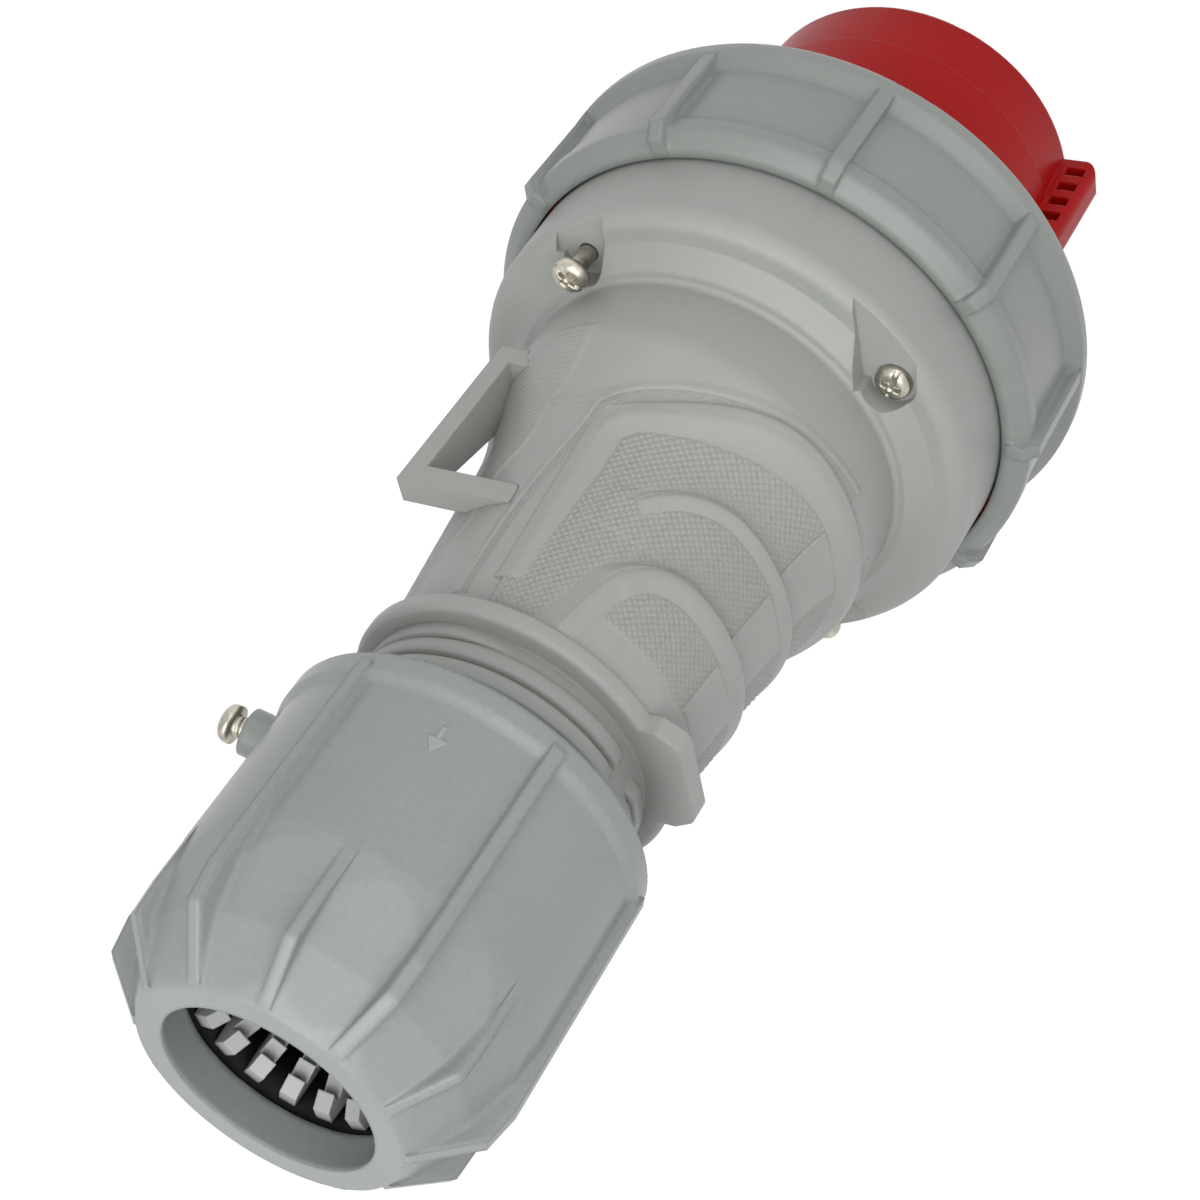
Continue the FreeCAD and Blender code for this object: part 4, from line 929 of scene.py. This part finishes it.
class PLUG_OT_gland(bpy.types.Operator):
    """Gland nut with its arrow and a black liner that paints shade inside it, clamping fingers, washer and
    cable seal
    """

    bl_idname = "plug.gland"
    bl_label = "Cable gland"

    nut_radius = 33.1
    arrow_angle = math.radians(72.1)
    arrow_start = 206.0
    arrow_scale = 1.45

    def execute(self, context):
        finish = finish_of(context)
        satin = moulded("gland_plastic", tuple(finish.gland), rough=0.33, grain=1.0 * MM, depth=0.02 * MM,
                        edge=1.6 * MM)
        dress(satin, "gland_nut")
        fingers = moulded("cage_plastic", tuple(finish.cage), rough=0.40, grain=0.6 * MM, depth=0.02 * MM,
                          edge=0.4 * MM)
        dress(fingers, "clamping_cage", "gland_washer")
        black = rubber("seal_rubber", tuple(finish.rubber))
        dress(black, "gland_seal")
        pale = moulded("arrow_plastic", tone(finish.gland, 1.18)[:3], rough=0.40, grain=0.4 * MM,
                       depth=0.03 * MM, edge=0.2 * MM)
        step = 0.12
        angles = self.arrow_angle + sweep(-2.5, 2.5, step) / self.nut_radius
        relief("nut_arrow", angles, sweep(205.6, 212.2, step), self.arrow, pale,
               lambda a, z: np.full(a.shape, self.nut_radius), ("nut", "gland_grey"))
        # Black liner in the nut's mouth, partly painted shade
        self.shade_liner(black)
        return {"FINISHED"}

    def arrow(self, angle, level):
        """Small raised arrow along the axis: a stem and a triangle, sloping at their edges."""
        height = 0.26
        across = np.abs(angle - self.arrow_angle) * self.nut_radius / self.arrow_scale
        along = (level - self.arrow_start) / self.arrow_scale
        stem = np.minimum(0.36 - across, np.minimum(along, 1.9 - along))
        head = np.minimum((1.35 - 0.62 * (along - 1.7) - across) * 0.85, along - 1.7)
        room = np.maximum(stem, head)
        return np.where(room > 0.0, height * ramp(room, 0.16) + SKIN, -SUNK)

    def shade_liner(self, material):
        """Thin black liner on the cone inside the nut, partly the black seal seen between the fingers and
        partly painted shade in the nut's mouth: a turned wall closed at both ends.
        """
        thickness = 0.22
        columns = 144
        inner = np.array([(25.61, 235.2), (19.72, 250.1)])
        outer = inner + np.array([thickness, 0.0])
        profile = np.concatenate([outer, inner[::-1]])
        rows = len(profile)
        angle = np.linspace(0.0, 2.0 * math.pi, columns + 1)[:-1]
        level = np.broadcast_to(profile[:, 1:], (rows, columns))
        points = turned(angle[None, :], profile[:, :1], level)
        faces = grid_faces(rows, columns, wrap_rows=True, wrap_columns=True)
        new_piece("nut_shade_liner", points.reshape(-1, 3), faces, material, "nut", "seal_rubber")


class PLUG_OT_screws(bpy.types.Operator):
    """Zinc-plated housing screws and the nut's lock screw"""

    bl_idname = "plug.screws"
    bl_label = "Screws"

    def execute(self, context):
        zinc = metal("screw_zinc", tuple(finish_of(context).zinc), rough=0.24, dull=0.62)
        self.piece("housing_screw_set", self.housing_set(), zinc, "housing", "housing_screws")
        self.piece("lock_screw", [self.lock()], zinc, "nut", "nut_lock_screw")
        return {"FINISHED"}

    def housing_set(self):
        """Four screws in the housing's notches; every second one is screwed out a little."""
        first = 28.0
        circle = 43.5
        seat_level = 96.6
        screwed_out = 6.6
        shapes = []
        for k, spin in enumerate((20.0, 65.0, 112.0, 38.0)):
            angle = math.radians(first + 90.0 * k)
            lift = screwed_out if k % 2 == 0 else 0.0
            seat = np.array([circle * math.cos(angle), circle * math.sin(angle), seat_level + lift])
            upright = np.array([(math.cos(angle), -math.sin(angle), 0.0),
                                (math.sin(angle), math.cos(angle), 0.0), (0.0, 0.0, 1.0)])
            screw = self.shape(head=3.5, height=2.4, shank=1.75, reach=29.0, plain=8.0, spin=spin)
            shapes.append(screw @ upright.T + seat)
        return shapes

    def lock(self):
        """Screw that stands out of the nut's wall."""
        angle = math.radians(74.0)
        seat_radius = 40.9
        seat_level = 201.5
        out = np.array([math.cos(angle), math.sin(angle), 0.0])
        aside = np.array([-math.sin(angle), math.cos(angle), 0.0])
        leaning = np.stack([aside, np.array([0.0, 0.0, 1.0]), out], 1)
        screw = self.shape(head=3.45, height=2.6, shank=2.0, reach=12.0, plain=0.5, spin=35.0)
        return screw @ leaning.T + out * seat_radius + np.array([0.0, 0.0, seat_level])

    def piece(self, name, shapes, material, body, node):
        """One piece for all the screws of a node, which it replaces."""
        rows, columns = shapes[0].shape[:2]
        faces = grid_faces(rows, columns, wrap_columns=True)
        every = np.concatenate([faces + k * rows * columns for k in range(len(shapes))])
        points = np.concatenate([shape.reshape(-1, 3) for shape in shapes])
        made = new_piece(name, points, every, material, body, "zinc_steel")
        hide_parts(node)

    def shape(self, head, height, shank, reach, plain, spin):
        """Rows of a screw along Z from its tip to the middle of its head, which rests at zero.

        The shank is a screw line: its radius plus a triangle wave of level and angle. The head is a
        flat dome, one minus a power of the radius, pressed in by a slot and a shorter cross.
        """
        columns = 112
        dome_rows = 36
        rim_rows = 6
        thread_height = 0.3
        thread_pitch = 1.4
        around = np.linspace(0.0, 2.0 * math.pi, columns + 1)[:-1]
        level = np.concatenate([[-reach], np.linspace(-reach, -0.05, int(reach / 0.2)), [0.0, 0.0]])
        radius = np.full(len(level), shank)
        radius[0] = 0.0
        radius[-1] = head
        wave = np.where((level > -reach + 0.3) & (level < -plain), thread_height, 0.0)
        dome = head * np.cos(np.linspace(0.0, math.pi / 2, dome_rows))
        domed = height * (0.32 + 0.68 * np.sqrt(1.0 - (dome / head) ** 3.4))
        level = np.concatenate([level, domed])[:, None]
        radius = np.concatenate([radius, dome])[:, None]
        wave = np.concatenate([wave, np.zeros(dome_rows)])[:, None]
        thread = tooth(level / thread_pitch - around / (2.0 * math.pi)) - 0.8
        radial = radius + wave * thread
        x = radial * np.cos(around)
        y = radial * np.sin(around)

        turn = math.radians(spin)
        u = np.abs(x * math.cos(turn) + y * math.sin(turn))
        v = np.abs(y * math.cos(turn) - x * math.sin(turn))
        slot_depth = 0.75
        cross_depth = 1.2
        cross_half = 0.52
        cross_reach = 1.5
        slot = slot_depth * (1.0 - ramp(v - 0.36, 0.14))
        arm_one = (1.0 - ramp(u - cross_half, 0.16)) * (1.0 - ramp(v - cross_reach, 0.4))
        arm_two = (1.0 - ramp(v - cross_half, 0.16)) * (1.0 - ramp(u - cross_reach, 0.4))
        press = np.maximum(slot, cross_depth * np.maximum(arm_one, arm_two))
        top = np.arange(len(level))[:, None] >= len(level) - dome_rows + rim_rows
        z = level - np.where(top, np.minimum(press, level * 0.6), 0.0)
        return np.stack([x, y, z], -1)


class PLUG_PT_panel(bpy.types.Panel):
    """Lists the plug's settings and steps"""

    bl_idname = "PLUG_PT_panel"
    bl_label = "Industrial power plug"
    bl_space_type = "VIEW_3D"
    bl_region_type = "UI"
    bl_category = "Plug"

    def draw(self, context):
        for group in (context.scene.plug_finish, context.scene.plug_sizes, context.scene.plug_stage):
            box = self.layout.box()
            for key in group.__annotations__:
                box.prop(group, key)
        for step in STEPS:
            self.layout.operator(step.bl_idname)


STEPS = (
    PLUG_OT_stage,
    PLUG_OT_housing,
    PLUG_OT_neck_thread,
    PLUG_OT_coupling_ring,
    PLUG_OT_nose,
    PLUG_OT_contacts,
    PLUG_OT_gland,
    PLUG_OT_screws,
)
GROUPS = (PlugFinish, PlugSizes, PlugStage)


def register():
    for item in (*GROUPS, *STEPS, PLUG_PT_panel):
        bpy.utils.register_class(item)
    bpy.types.Scene.plug_finish = bpy.props.PointerProperty(type=PlugFinish)
    bpy.types.Scene.plug_sizes = bpy.props.PointerProperty(type=PlugSizes)
    bpy.types.Scene.plug_stage = bpy.props.PointerProperty(type=PlugStage)


def unregister():
    del bpy.types.Scene.plug_stage
    del bpy.types.Scene.plug_sizes
    del bpy.types.Scene.plug_finish
    for item in reversed((*GROUPS, *STEPS, PLUG_PT_panel)):
        bpy.utils.unregister_class(item)


def main():
    register()
    bpy.ops.plug.stage()
    bpy.ops.plug.housing()
    bpy.ops.plug.neck_thread()
    bpy.ops.plug.coupling_ring()
    bpy.ops.plug.nose()
    bpy.ops.plug.contacts()
    bpy.ops.plug.gland()
    bpy.ops.plug.screws()


if __name__ == "__main__":
    main()
